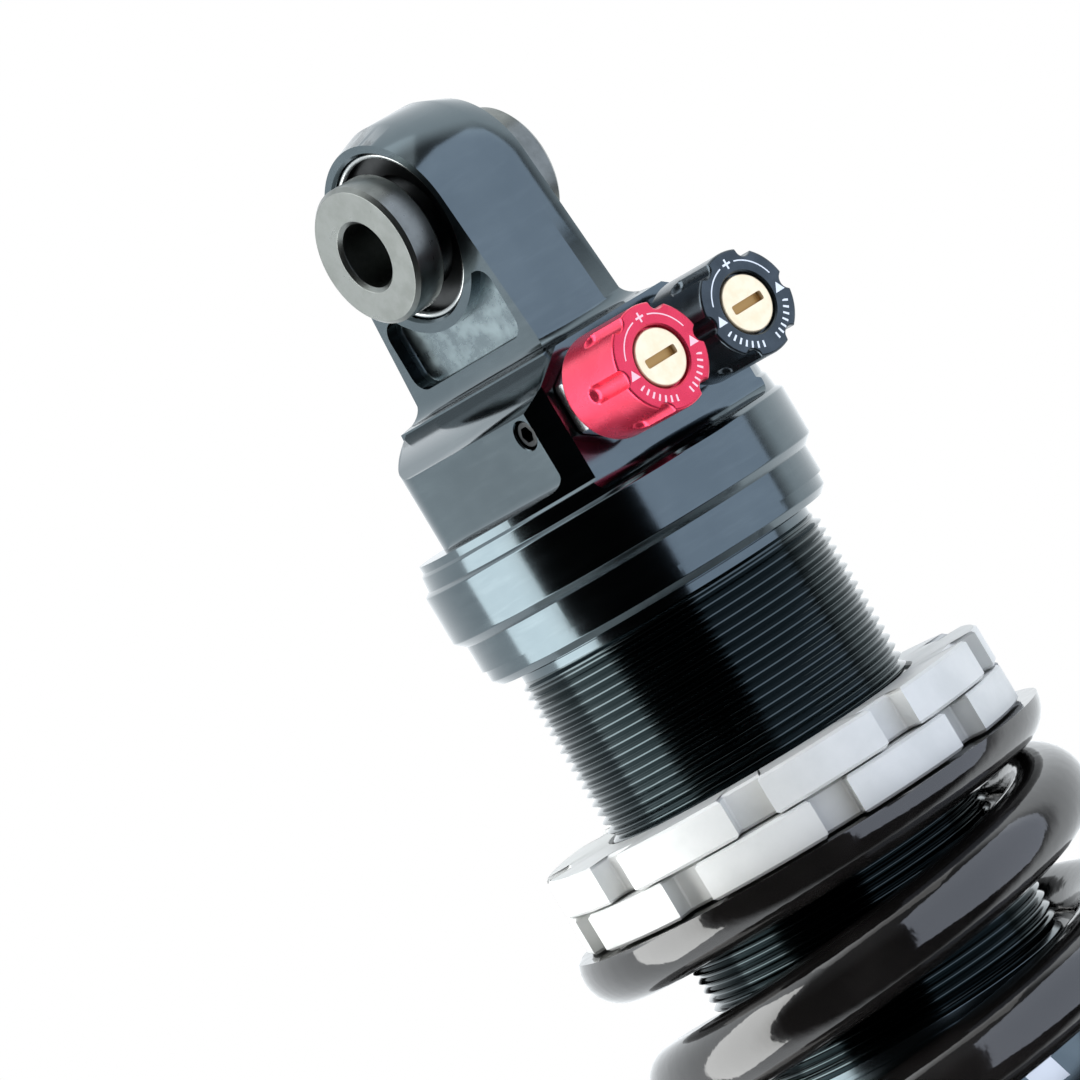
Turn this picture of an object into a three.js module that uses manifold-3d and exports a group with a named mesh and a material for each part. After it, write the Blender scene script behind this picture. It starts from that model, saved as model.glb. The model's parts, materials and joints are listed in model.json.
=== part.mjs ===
// Coilover damper for a rear suspension: billet head with a spherical bearing, click adjusters,
// threaded body with two collars, coil spring, and the damper's own inner parts.
// Millimetres, +Z up. Origin: centre of the upper eye, whose bolt axis is X. The knobs point to -Y.
import * as THREE from 'three'
import { mergeVertices } from 'three/addons/utils/BufferGeometryUtils.js'
import Module from 'manifold-3d'

const wasm = await Module()
wasm.setup()

// Driving dimensions
const gap = 0.3
const eyeToEye = 305
const eyeHalfWidth = 15
const boltR = 5
const lugHalf = 8.65
const lugR = 16.3
const bearingBoreR = 13
const ballR = 10.4

const blockHalf = 20
const blockTop = -24.7
const blockFront = -23
const blockBack = 19
const capTop = -42.3
const headBottom = -62.9

const bodyR = 25
const bodyBoreR = 22
const spigotR = 23.6
const bodyTop = -53
const bodyBottom = -182
const threadEnd = -134.2

const collarR = 36.3
const collarThick = 6
const collarBottom = -103
const slotCount = 9
const slotWidth = 6.2
const slotDepth = 4
const lockSlotAngle = -134.9
const preloadSlotAngle = -117.7

const wireR = 6
const coilR = 33
const springTop = collarBottom - gap
const seatTop = -253
const springBottom = seatTop + gap
const coilPitch = 20

const shaftR = 8
const threadR = 5
const pistonTop = -151
const pistonHigh = 12
const neckR = 16
const neckTop = -250
const floatTop = -84

const knobX = 9
const knobZ = -33.4
const knobFace = 40.4
const knobR = 8
const stemR = 3
const setScrewY = -18
const setScrewR = 2

const bodySides = 32
const roundSides = 24
const smallSides = 12

// Stock shapes

const toSolid = (geometry) => {
  const g = geometry.clone()
  g.deleteAttribute('normal')
  g.deleteAttribute('uv')
  const merged = mergeVertices(g, 1e-4)
  return new wasm.Manifold(new wasm.Mesh({
    numProp: 3,
    vertProperties: new Float32Array(merged.attributes.position.array),
    triVerts: new Uint32Array(merged.index.array)
  }))
}

const toGeometry = (solid) => {
  const mesh = solid.getMesh()
  const g = new THREE.BufferGeometry()
  g.setAttribute('position', new THREE.BufferAttribute(new Float32Array(mesh.vertProperties), 3))
  g.setIndex(new THREE.BufferAttribute(new Uint32Array(mesh.triVerts), 1))
  g.computeVertexNormals()
  return g
}

const cutAway = (blank, cutters) => cutters.reduce((rest, cutter) => rest.subtract(toSolid(cutter)), blank)

// A solid of revolution about Z, from [radius, height] points that run up the outside
const turned = (points, sides = roundSides) => {
  const g = new THREE.LatheGeometry(points.map(([r, z]) => new THREE.Vector2(r, z)), sides)
  return g.rotateX(Math.PI / 2)
}

const ring = (outer, inner, low, high, sides = roundSides, edge = 0) => turned(edge > 0
  ? [[inner, low], [outer - edge, low], [outer, low + edge], [outer, high - edge],
      [outer - edge, high], [inner, high], [inner, low]]
  : [[inner, low], [outer, low], [outer, high], [inner, high], [inner, low]], sides)

const rod = (r, low, high, sides = smallSides, edge = 0) => turned(edge > 0
  ? [[0, low], [r - edge, low], [r, low + edge], [r, high - edge], [r - edge, high], [0, high]]
  : [[0, low], [r, low], [r, high], [0, high]], sides)

const oRing = (centreR, cordR, z) => {
  const sides = 4
  const points = Array.from({ length: sides + 1 }, (_, i) => {
    const a = i % sides * 2 * Math.PI / sides
    return [centreR + cordR * Math.cos(a), z + cordR * Math.sin(a)]
  })
  return turned(points, bodySides)
}

// Stock made along Z, laid along X or along -Y
const ontoX = (g) => g.rotateY(Math.PI / 2)
const ontoMinusY = (g) => g.rotateX(Math.PI / 2)

const flatSolid = (outline, depth, options = {}) => {
  const shape = Array.isArray(outline)
    ? new THREE.Shape(outline.map(([x, y]) => new THREE.Vector2(x, y)))
    : outline
  return new THREE.ExtrudeGeometry(shape, { depth, bevelEnabled: false, curveSegments: 6, ...options })
}

// A (y, z) outline pushed along X, centred on x = 0
const alongX = (outline, depth, options = {}) => {
  const g = flatSolid(outline, depth, options)
  return g.translate(0, 0, -depth / 2).rotateX(Math.PI / 2).rotateZ(Math.PI / 2)
}

const roundedBox = (w, h, r) => {
  const x = w / 2 - r
  const y = h / 2 - r
  const s = new THREE.Shape()
  s.absarc(x, -y, r, -Math.PI / 2, 0)
  s.absarc(x, y, r, 0, Math.PI / 2)
  s.absarc(-x, y, r, Math.PI / 2, Math.PI)
  s.absarc(-x, -y, r, Math.PI, Math.PI * 1.5)
  return s
}

const hexOutline = (acrossFlats) => Array.from({ length: 6 }, (_, i) => {
  const a = i * Math.PI / 3
  const r = acrossFlats / Math.sqrt(3)
  return [r * Math.cos(a), r * Math.sin(a)]
})

const hexNut = (acrossFlats, bore, low, high) => {
  const stock = toSolid(flatSolid(hexOutline(acrossFlats), high - low).translate(0, 0, low))
  return toGeometry(cutAway(stock, [rod(bore, low - 1, high + 1)]))
}

// Head

// Lug of an eye: a round top that flares into straight sides down to its foot
const lugOutline = (footHalf, footZ) => {
  const lean = Math.atan2(footHalf - lugR, -footZ)
  const s = new THREE.Shape()
  s.moveTo(-footHalf, footZ)
  s.lineTo(footHalf, footZ)
  s.absarc(0, 0, lugR, lean, Math.PI - lean)
  return s
}

const lug = (footHalf, footZ) => {
  const chamferIn = 1.4
  const chamferAlong = 3.6
  return toSolid(alongX(lugOutline(footHalf, footZ), 2 * (lugHalf - chamferAlong), {
    curveSegments: 10,
    bevelEnabled: true,
    bevelThickness: chamferAlong,
    bevelSize: chamferIn,
    bevelOffset: -chamferIn,
    bevelSegments: 1
  }))
}

// Milled pocket beside the bearing boss, on both faces of a lug
const lugPockets = (low, high, half) => {
  const depth = 3
  const boss = toSolid(ontoX(rod(bearingBoreR + 3, -20, 20, roundSides)))
  const cuts = [-1, 1].map((side) => {
    const g = alongX(roundedBox(2 * half, high - low, 3), 2 * depth)
    return toSolid(g.translate(side * lugHalf, 0, (low + high) / 2)).subtract(boss)
  })
  return cuts[0].add(cuts[1])
}

const headBlock = () => {
  const crownHalf = 11
  const shoulder = -30.6
  const bottom = -47
  const cornerX = 16.7
  const cornerY = -19.8
  const backR = 8
  const front = [[-blockHalf, bottom], [blockHalf, bottom], [blockHalf, shoulder], [crownHalf, blockTop],
    [-crownHalf, blockTop], [-blockHalf, shoulder]]
  const slab = flatSolid(front, 50).rotateX(Math.PI / 2).translate(0, 25, 0)
  const plan = new THREE.Shape()
  plan.moveTo(-blockHalf, cornerY)
  plan.lineTo(-cornerX, blockFront)
  plan.lineTo(cornerX, blockFront)
  plan.lineTo(blockHalf, cornerY)
  plan.absarc(blockHalf - backR, blockBack - backR, backR, 0, Math.PI / 2)
  plan.absarc(-blockHalf + backR, blockBack - backR, backR, Math.PI / 2, Math.PI)
  const column = flatSolid(plan, 30).translate(0, 0, -50)
  return toSolid(slab).intersect(toSolid(column))
}

const headCap = () => toSolid(turned([
  [0, headBottom], [26.9, headBottom], [28, headBottom + 1.1], [28, -56], [30, -54], [30, -46.9],
  [29.1, -45.9], [29, -43.9], [27.4, capTop], [0, capTop]], bodySides))

const head = () => {
  const pockets = lugPockets(-19.5, 0, 14.5)
  const blank = headBlock().add(headCap()).add(lug(18.8, -26)).subtract(pockets)
  const bores = [
    ontoX(rod(bearingBoreR, -20, 20, roundSides)),
    rod(spigotR + gap, headBottom - 5, bodyTop + gap, bodySides),
    ontoX(rod(setScrewR + gap, -25, -13.5, 16)).translate(0, setScrewY, knobZ)
  ]
  for (const side of [-1, 1]) {
    bores.push(ontoMinusY(rod(stemR + 2 * gap, -8, 30)).translate(side * knobX, 0, knobZ))
    bores.push(rod(2, -60, knobZ, 12).translate(side * knobX, 5, 0))
  }
  return toGeometry(cutAway(blank, bores))
}

const grubScrew = () => {
  const face = blockHalf - gap
  const blank = toSolid(rod(setScrewR, 14, face, 16, 0.3))
  const socket = flatSolid(hexOutline(2.2), 3).translate(0, 0, face - 1.7)
  return toGeometry(cutAway(blank, [socket])).rotateY(-Math.PI / 2).translate(0, setScrewY, knobZ)
}

// Spherical bearing and its reducers, made along X about the eye's centre

const bearingHalf = 6
const ballHalf = 7.2
const ballStemR = 6.2

const sphereArc = (r, from, to, steps) => Array.from({ length: steps + 1 }, (_, i) => {
  const z = from + (to - from) * i / steps
  return [Math.sqrt(r * r - z * z), z]
})

const bearingRace = () => {
  const outer = bearingBoreR - gap
  return ontoX(turned([[outer, -bearingHalf], [outer, bearingHalf],
    ...sphereArc(ballR + gap, bearingHalf, -bearingHalf, 4), [outer, -bearingHalf]]))
}

const bearingBall = () => {
  const inner = ballStemR + gap
  const arc = sphereArc(ballR, -ballHalf, ballHalf, 6)
  return ontoX(turned([[inner, -ballHalf], ...arc, [inner, -ballHalf]], roundSides))
}

// Reducer sleeve: stem in the ball, a short neck, then the flanged end that meets the frame
const spacer = (side) => {
  const edge = 0.5
  const faceR = 10.7
  const flangeStart = 9.2
  const g = turned([[boltR, gap], [ballStemR, gap], [ballStemR, ballHalf + gap], [7.2, ballHalf + gap],
    [7.2, flangeStart], [faceR - edge, flangeStart], [faceR, flangeStart + edge],
    [faceR, eyeHalfWidth - edge], [faceR - edge, eyeHalfWidth], [boltR + edge, eyeHalfWidth],
    [boltR, eyeHalfWidth - edge], [boltR, gap]], 16)
  return side > 0 ? ontoX(g) : g.rotateY(-Math.PI / 2)
}

// Retaining ring beside the race, open at the back
const snapRing = (side) => {
  const innerR = 11.2
  const thick = 0.9
  const low = bearingHalf + 0.8
  const blank = toSolid(ring(bearingBoreR - gap, innerR, low, low + thick))
  const mouth = new THREE.BoxGeometry(5, 2.4, 4).translate(-bearingBoreR, 0, low)
  const g = toGeometry(cutAway(blank, [mouth]))
  return side > 0 ? ontoX(g) : g.rotateY(-Math.PI / 2)
}

// Click adjusters, made along the axis that leaves the head's front flat

const adjusterNut = () => hexNut(13, stemR + 0.5, -blockFront + gap, 26)

const adjusterKnob = () => {
  const low = 26 + gap
  const fluteStart = 31.4
  const fluteR = 2.5
  const cutters = [rod(4.65, 37.4, knobFace + 1), rod(stemR + 0.5, low - 1, 38)]
  for (let i = 0; i < 6; i += 1) {
    const flute = rod(fluteR, fluteStart, knobFace + 1, 8)
    cutters.push(flute.translate(knobR + 1.5, 0, 0).rotateZ(i * Math.PI / 3))
  }
  return toGeometry(cutAway(toSolid(rod(knobR, low, knobFace, 18, 0.6)), cutters))
}

const adjusterScrew = () => {
  const headLow = 37.4 + gap
  const top = knobFace - 0.5
  const blank = toSolid(turned([[0, 31], [stemR, 31], [stemR, headLow], [3.9, headLow], [3.9, top - 0.3],
    [3.6, top], [0, top]]))
  return toGeometry(cutAway(blank, [new THREE.BoxGeometry(5.8, 1.3, 2).translate(0, 0, top)]))
}

const adjusterNeedle = () => turned([[0, -7], [stemR - 2, -3], [stemR, -1], [stemR, 31 - gap], [0, 31 - gap]])

// Damper body: spigot with its seal groove, thread run, then the smooth lower wall
const damperBody = () => turned([
  [bodyBoreR, bodyBottom], [bodyR - 0.7, bodyBottom], [bodyR - 0.2, bodyBottom + 0.5],
  [bodyR - 0.2, threadEnd - 0.6], [bodyR, threadEnd], [bodyR, headBottom - 1.5],
  [bodyR - 1, headBottom - gap], [spigotR, headBottom - gap], [spigotR, -58.5], [22.7, -58.5],
  [22.7, -56.9], [spigotR, -56.9], [spigotR, bodyTop], [bodyBoreR, bodyTop],
  [bodyBoreR, bodyBottom]], bodySides)

// Collar with evenly spaced spanner slots, the first at the given angle
const collar = (low, firstSlot) => {
  const high = low + collarThick
  const slots = Array.from({ length: slotCount }, (_, i) => {
    const cut = new THREE.BoxGeometry(slotDepth * 2, slotWidth, collarThick + 2)
    const turn = THREE.MathUtils.degToRad(firstSlot + i * 360 / slotCount)
    return cut.translate(collarR, 0, (low + high) / 2).rotateZ(turn)
  })
  return toGeometry(cutAway(toSolid(ring(collarR, bodyR + gap, low, high, 54, 0.6)), slots))
}

// Right-hand coil: its pitch opens over half a turn at each end, and both ends are ground flat
class CoilLine extends THREE.Curve {
  constructor (top, bottom, pitch, startAngle) {
    super()
    this.top = top
    this.drop = top - bottom
    this.pitch = pitch
    this.startAngle = startAngle
    this.endRise = 0.17 * pitch
    this.turns = 1 + (this.drop - 2 * this.endRise) / pitch
    this.overrun = 0.06
  }

  // Height used up after s turns from the upper end
  depthAt (s) {
    if (s < 0) return 0
    if (s < 0.5) return this.endRise * (s / 0.5) ** 2
    if (s > this.turns - 0.5) return this.drop - this.depthAt(this.turns - s)
    return this.endRise + (s - 0.5) * this.pitch
  }

  getPoint (t, target = new THREE.Vector3()) {
    const s = -this.overrun + t * (this.turns + 2 * this.overrun)
    const a = this.startAngle - s * 2 * Math.PI
    return target.set(coilR * Math.cos(a), coilR * Math.sin(a), this.top - this.depthAt(s))
  }
}

const coilSpring = () => {
  const sides = 6
  const stepsPerTurn = 16
  const line = new CoilLine(collarBottom, seatTop, coilPitch, THREE.MathUtils.degToRad(-38))
  const section = Array.from({ length: sides }, (_, i) => {
    const a = i * 2 * Math.PI / sides
    return [wireR * Math.cos(a), wireR * Math.sin(a)]
  })
  const wire = flatSolid(section, 1, { extrudePath: line, steps: Math.round(line.turns * stepsPerTurn) })
  const between = new THREE.BoxGeometry(100, 100, springTop - springBottom)
  return toGeometry(toSolid(wire).intersect(toSolid(between.translate(0, 0, (springTop + springBottom) / 2))))
}

// Piston group, from the nut down to the shaft

const piston = () => {
  const low = pistonTop - pistonHigh
  const outer = bodyBoreR - 0.4
  const grooveR = 20.3
  const blank = toSolid(turned([[threadR + gap, low], [outer, low], [outer, low + 3], [grooveR, low + 3],
    [grooveR, pistonTop - 3], [outer, pistonTop - 3], [outer, pistonTop], [threadR + gap, pistonTop],
    [threadR + gap, low]]))
  const ports = [45, 135, 225, 315].map((angle) => {
    const port = rod(2, low - 1, pistonTop + 1, 10)
    return port.translate(13.5, 0, 0).rotateZ(THREE.MathUtils.degToRad(angle))
  })
  return toGeometry(cutAway(blank, ports))
}

// Shim stack that tapers away from the piston's face
const shimStack = (faceZ, away) => {
  const steps = [[17, 0], [17, 0.8], [13, 0.8], [13, 1.6], [9, 1.6], [9, 2.4]]
  const outer = steps.map(([r, h]) => [r, faceZ + away * (h + gap)])
  const inner = threadR + gap
  const points = [[inner, faceZ + away * gap], ...outer, [inner, faceZ + away * (2.4 + gap)],
    [inner, faceZ + away * gap]]
  return turned(away > 0 ? points : points.reverse(), 20)
}

const shaft = () => {
  const step = pistonTop - pistonHigh - 3
  return turned([[0, -284], [6, -284], [6, neckTop + gap], [shaftR, neckTop + gap],
    [shaftR, step], [threadR, step], [threadR, -141.5], [0, -141.5]], 20)
}

const sealHead = () => turned([[12.3, -180], [21.7, -180], [21.7, -175], [20.3, -175], [20.3, -172.6],
  [21.7, -172.6], [21.7, -168], [shaftR + gap, -168], [shaftR + gap, -171.7], [12.3, -171.7], [12.3, -180]])

const floatingPiston = () => turned([[0, floatTop - 14], [21.7, floatTop - 14], [21.7, floatTop - 8.2],
  [20.3, floatTop - 8.2], [20.3, floatTop - 5.8], [21.7, floatTop - 5.8], [21.7, floatTop],
  [18, floatTop], [16, floatTop - 6], [0, floatTop - 6]])

const bumpStop = () => {
  const low = neckTop + gap
  return turned([[shaftR + gap, low], [14, low], [15.2, low + 2], [15.2, low + 7], [12, low + 9.5],
    [15, low + 12], [14.6, low + 18], [11, low + 22], [shaftR + gap, low + 22], [shaftR + gap, low]], 20)
}

const lowerSeat = () => turned([[neckR + gap, -259], [38.5, -259], [40, -257.5], [40, -254], [39.2, seatTop],
  [26, seatTop], [26, -249], [25, -248], [21, -248], [21, -254], [neckR + gap, -254],
  [neckR + gap, -259]])

const lowerEye = () => {
  const neck = toSolid(turned([[0, -294], [12, -294], [17, -276], [20, -268], [20, -260.2], [19, -259.3],
    [neckR, -259.3], [neckR, neckTop], [0, neckTop]]))
  const fork = toSolid(toGeometry(lug(18, -36)).rotateX(Math.PI).translate(0, 0, -eyeToEye))
  const bearingBore = ontoX(rod(bearingBoreR, -20, 20, roundSides)).translate(0, 0, -eyeToEye)
  return toGeometry(cutAway(neck.add(fork), [bearingBore, rod(6 + gap, -285, neckTop + 1)]))
}

// Finishes

const finish = (color, roughness, metalness) =>
  new THREE.MeshStandardMaterial({ color, roughness, metalness })
const blackAnodised = finish(0x1c2126, 0.38, 0.85)
const springPaint = finish(0x050506, 0.12, 0.1)
const silverAnodised = finish(0xc9ccce, 0.32, 0.95)
const redAnodised = finish(0xd8364f, 0.35, 0.85)
const slateAnodised = finish(0x2d353b, 0.38, 0.85)
const brass = finish(0xf0dcae, 0.3, 1)
const bearingSteel = finish(0x3c3f40, 0.3, 0.9)
const steel = finish(0x99a29a, 0.35, 1)
const brightSteel = finish(0xd5d8da, 0.15, 1)
const chrome = finish(0xe6e8ea, 0.06, 1)
const rubber = finish(0x151515, 0.8, 0)
const foam = finish(0xd9b23c, 0.85, 0)
const nylon = finish(0x22242a, 0.6, 0)
const ptfe = finish(0x3a2f28, 0.6, 0)

// Assembly

const coilover = new THREE.Group()

const place = (name, geometry, material, parent = coilover) => {
  const mesh = new THREE.Mesh(geometry, material)
  mesh.name = name
  parent.add(mesh)
}

place('head', head(), blackAnodised)
place('set_screw', grubScrew(), steel)

for (const [end, z] of [['upper', 0], ['lower', -eyeToEye]]) {
  const eye = new THREE.Group()
  eye.position.z = z
  coilover.add(eye)
  place(`${end}_bearing_race`, bearingRace(), bearingSteel, eye)
  place(`${end}_bearing_ball`, bearingBall(), bearingSteel, eye)
  for (const [hand, side] of [['left', -1], ['right', 1]]) {
    place(`${end}_spacer_${hand}`, spacer(side), steel, eye)
    place(`${end}_snap_ring_${hand}`, snapRing(side), brightSteel, eye)
  }
}

for (const [kind, side, colour] of [['rebound', -1, redAnodised], ['compression', 1, slateAnodised]]) {
  const adjuster = new THREE.Group()
  adjuster.position.set(side * knobX, 0, knobZ)
  adjuster.rotation.x = Math.PI / 2
  coilover.add(adjuster)
  place(`${kind}_lock_nut`, adjusterNut(), silverAnodised, adjuster)
  place(`${kind}_knob`, adjusterKnob(), colour, adjuster)
  place(`${kind}_screw`, adjusterScrew(), brass, adjuster)
  place(`${kind}_needle`, adjusterNeedle(), steel, adjuster)
}

place('damper_body', damperBody(), blackAnodised)
place('body_o_ring', oRing(23.25, 0.42, -57.7), rubber)
place('lock_collar', collar(collarBottom + collarThick + gap, lockSlotAngle), silverAnodised)
place('preload_collar', collar(collarBottom, preloadSlotAngle), silverAnodised)
place('spring_guide_ring', ring(26.1, bodyR + gap, springTop - 4.2, springTop - gap), nylon)
place('coil_spring', coilSpring(), springPaint)

place('floating_piston', floatingPiston(), silverAnodised)
place('floating_piston_o_ring', oRing(21.1, 0.6, floatTop - 7), rubber)
place('piston_nut', hexNut(17, threadR + gap, pistonTop + 3, pistonTop + 9), steel)
place('compression_shims', shimStack(pistonTop, 1), brightSteel)
place('piston', piston(), silverAnodised)
place('piston_band', ring(21.75, 20.6, pistonTop - pistonHigh + 3 + gap, pistonTop - 3 - gap), ptfe)
place('rebound_shims', shimStack(pistonTop - pistonHigh, -1), brightSteel)
place('shaft', shaft(), chrome)

place('seal_head', sealHead(), slateAnodised)
place('seal_head_o_ring', oRing(21.1, 0.6, -173.8), rubber)
place('shaft_seal', ring(12, shaftR + gap, -176, -172, 20), rubber)
place('shaft_wiper', ring(12, shaftR + gap, -180.5, -176 - gap, 20), rubber)
place('seal_head_ring', ring(21.7, 18, -181.6, -180 - gap), steel)

place('bump_stop', bumpStop(), foam)
place('lower_seat', lowerSeat(), blackAnodised)
place('seat_clip', ring(18.6, neckR + gap, -254 + gap, -252.5, 20), brightSteel)
place('lower_eye', lowerEye(), blackAnodised)

export default coilover
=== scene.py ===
import json
import math
import bpy
import bmesh
from mathutils import Matrix, Vector


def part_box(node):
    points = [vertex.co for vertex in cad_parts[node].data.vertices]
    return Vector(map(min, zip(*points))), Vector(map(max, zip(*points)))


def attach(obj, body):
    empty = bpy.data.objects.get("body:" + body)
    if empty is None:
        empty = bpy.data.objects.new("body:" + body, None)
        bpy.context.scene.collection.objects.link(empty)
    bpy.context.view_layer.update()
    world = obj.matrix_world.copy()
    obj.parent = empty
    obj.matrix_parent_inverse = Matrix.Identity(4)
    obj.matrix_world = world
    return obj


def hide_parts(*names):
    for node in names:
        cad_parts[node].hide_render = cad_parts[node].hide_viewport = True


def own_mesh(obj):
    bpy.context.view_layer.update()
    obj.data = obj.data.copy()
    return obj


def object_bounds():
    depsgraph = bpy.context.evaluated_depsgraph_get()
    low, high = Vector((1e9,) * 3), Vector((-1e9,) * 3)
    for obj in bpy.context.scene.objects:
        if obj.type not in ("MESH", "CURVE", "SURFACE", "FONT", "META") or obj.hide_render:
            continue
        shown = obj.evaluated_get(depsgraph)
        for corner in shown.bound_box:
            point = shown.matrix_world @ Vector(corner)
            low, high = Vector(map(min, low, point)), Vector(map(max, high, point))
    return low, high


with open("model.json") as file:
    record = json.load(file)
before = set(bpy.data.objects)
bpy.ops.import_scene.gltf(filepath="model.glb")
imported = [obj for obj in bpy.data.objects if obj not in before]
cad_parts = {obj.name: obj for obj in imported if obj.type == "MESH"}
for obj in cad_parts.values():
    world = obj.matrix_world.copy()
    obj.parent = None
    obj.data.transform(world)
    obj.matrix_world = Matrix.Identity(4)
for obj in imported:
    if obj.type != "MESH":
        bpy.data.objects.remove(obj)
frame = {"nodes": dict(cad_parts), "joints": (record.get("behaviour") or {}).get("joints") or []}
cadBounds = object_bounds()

mm = 0.001
print("frame loaded:", len(frame["nodes"]), "nodes")


def mmBox(node):
    low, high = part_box(node)
    return low / mm, high / mm


# Places read from the frame, in millimetres
headLow, headHigh = mmBox("head")
upperCollarLow, upperCollarHigh = mmBox("lock_collar")
lowerCollarLow, lowerCollarHigh = mmBox("preload_collar")
springLow, springHigh = mmBox("coil_spring")
bodyLow, bodyHigh = mmBox("damper_body")
ballLow, ballHigh = mmBox("lower_bearing_ball")
eyeDrop = (ballLow.z + ballHigh.z) / 2
knobLow, knobHigh = mmBox("rebound_knob")
knobX = abs(knobLow.x + knobHigh.x) / 2
knobZ = (knobLow.z + knobHigh.z) / 2
knobFace = -knobLow.y
knobBase = -knobHigh.y
screwLow, screwHigh = mmBox("set_screw")
setScrewY = (screwLow.y + screwHigh.y) / 2


# Shader maths: a wrapped socket takes + - * / and gives a new wrapped socket
class Wire:
    def __init__(self, tree, socket):
        self.tree = tree
        self.socket = socket

    def maths(self, operation, *others, clamp=False):
        node = self.tree.nodes.new("ShaderNodeMath")
        node.operation = operation
        node.use_clamp = clamp
        for slotNumber, value in enumerate((self, *others)):
            feed(self.tree, node.inputs[slotNumber], value)
        return Wire(self.tree, node.outputs[0])

    def __add__(self, other):
        return self.maths("ADD", other)

    def __sub__(self, other):
        return self.maths("SUBTRACT", other)

    def __mul__(self, other):
        return self.maths("MULTIPLY", other)

    def __truediv__(self, other):
        return self.maths("DIVIDE", other)

    def __neg__(self):
        return self.maths("MULTIPLY", -1.0)

    def __mod__(self, other):
        return self.maths("FLOORED_MODULO", other)

    def __gt__(self, other):
        return self.maths("GREATER_THAN", other)

    def __lt__(self, other):
        return self.maths("LESS_THAN", other)

    def __rsub__(self, other):
        return (-self).maths("ADD", other)

    __radd__ = __add__
    __rmul__ = __mul__

    def cos(self):
        return self.maths("COSINE")

    def sin(self):
        return self.maths("SINE")

    def abs(self):
        return self.maths("ABSOLUTE")

    def sqrt(self):
        return self.maths("SQRT")

    def floor(self):
        return self.maths("FLOOR")

    def clamped(self):
        return self.maths("ADD", 0.0, clamp=True)

    # 0 below low, 1 above high, smooth between
    def step(self, low, high):
        settings = {"interpolation_type": "SMOOTHSTEP"}
        return add(self.tree, "ShaderNodeMapRange", settings, {0: self, 1: low, 2: high})

    # The sockets of the same node, such as the three parts of a vector
    def siblings(self):
        return [Wire(self.tree, socket) for socket in self.socket.node.outputs]


def feed(tree, target, value):
    if isinstance(value, Wire):
        tree.links.new(value.socket, target)
    else:
        target.default_value = value


# One node of any kind: its settings first, then the values or links of its sockets
def add(tree, kind, settings=None, sockets=None, out=0):
    node = tree.nodes.new(kind)
    for key, value in (settings or {}).items():
        setattr(node, key, value)
    for key, value in (sockets or {}).items():
        feed(tree, node.inputs[key], value)
    if node.outputs:
        return Wire(tree, node.outputs[out])


def mixColour(tree, mask, low, high):
    settings = {"data_type": "RGBA", "clamp_factor": True}
    return add(tree, "ShaderNodeMix", settings, {0: mask, 6: low, 7: high}, 2)


def mixNumber(mask, low, high):
    return mask * (high - low) + low


# Object position in millimetres, and its parts measured from a centre
def place(tree, centre=(0, 0, 0)):
    coords = add(tree, "ShaderNodeTexCoord", out=3)
    scaled = add(tree, "ShaderNodeVectorMath", {"operation": "SCALE"}, {0: coords, "Scale": 1 / mm})
    moved = add(tree, "ShaderNodeVectorMath", {"operation": "SUBTRACT"}, {0: scaled, 1: centre})
    x, y, z = add(tree, "ShaderNodeSeparateXYZ", None, {0: moved}).siblings()
    return moved, x, y, z


def noise(tree, vector, scale, detail=3.0, roughness=0.55, stretch=None, seed=0.0):
    if stretch:
        vector = add(tree, "ShaderNodeVectorMath", {"operation": "MULTIPLY"}, {0: vector, 1: stretch})
    return add(tree, "ShaderNodeTexNoise", {"noise_dimensions": "4D"},
               {"Vector": vector, "W": seed, "Scale": scale, "Detail": detail, "Roughness": roughness})


def bump(tree, height, strength, distance):
    return add(tree, "ShaderNodeBump", None, {"Height": height, "Strength": strength, "Distance": distance})


# A new material with one Principled shader; the paint function returns what its sockets get
def material(name, paint, **fixed):
    made = bpy.data.materials.new(name)
    made.use_nodes = True
    tree = made.node_tree
    shader = tree.nodes["Principled BSDF"]
    for key, value in fixed.items():
        shader.inputs[key].default_value = value
    for key, value in paint(tree).items():
        feed(tree, shader.inputs[key], value)
    return made


anodisedLook = {
    "base": (0.098, 0.124, 0.138, 1),
    "worn": (0.128, 0.158, 0.172, 1),
    "milled": (0.190, 0.236, 0.250, 1),
    "roughness": 0.13,
    "blastScale": 3.4,
    "toolLines": 0.10,
}


# Where the milled pocket floors lie: across the eye, and along from the eye's centre
pocketPlace = {
    "inside": 4.5,
    "outside": 6.6,
    "halfWidth": 14.9,
    "near": 9.0,
    "far": 21.2,
}


# Mask of the pocket floors of both eyes, which a cutter left rougher than the faces
def pocketFloor(x, y, z):
    spot = pocketPlace
    across = x.abs()
    inPlan = (across > spot["inside"]) * (across < spot["outside"]) * (y.abs() < spot["halfWidth"])
    upper = (z > -spot["far"]) * (z < -spot["near"])
    lower = (z > eyeDrop + spot["near"]) * (z < eyeDrop + spot["far"])
    return inPlan * (upper + lower)


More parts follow.
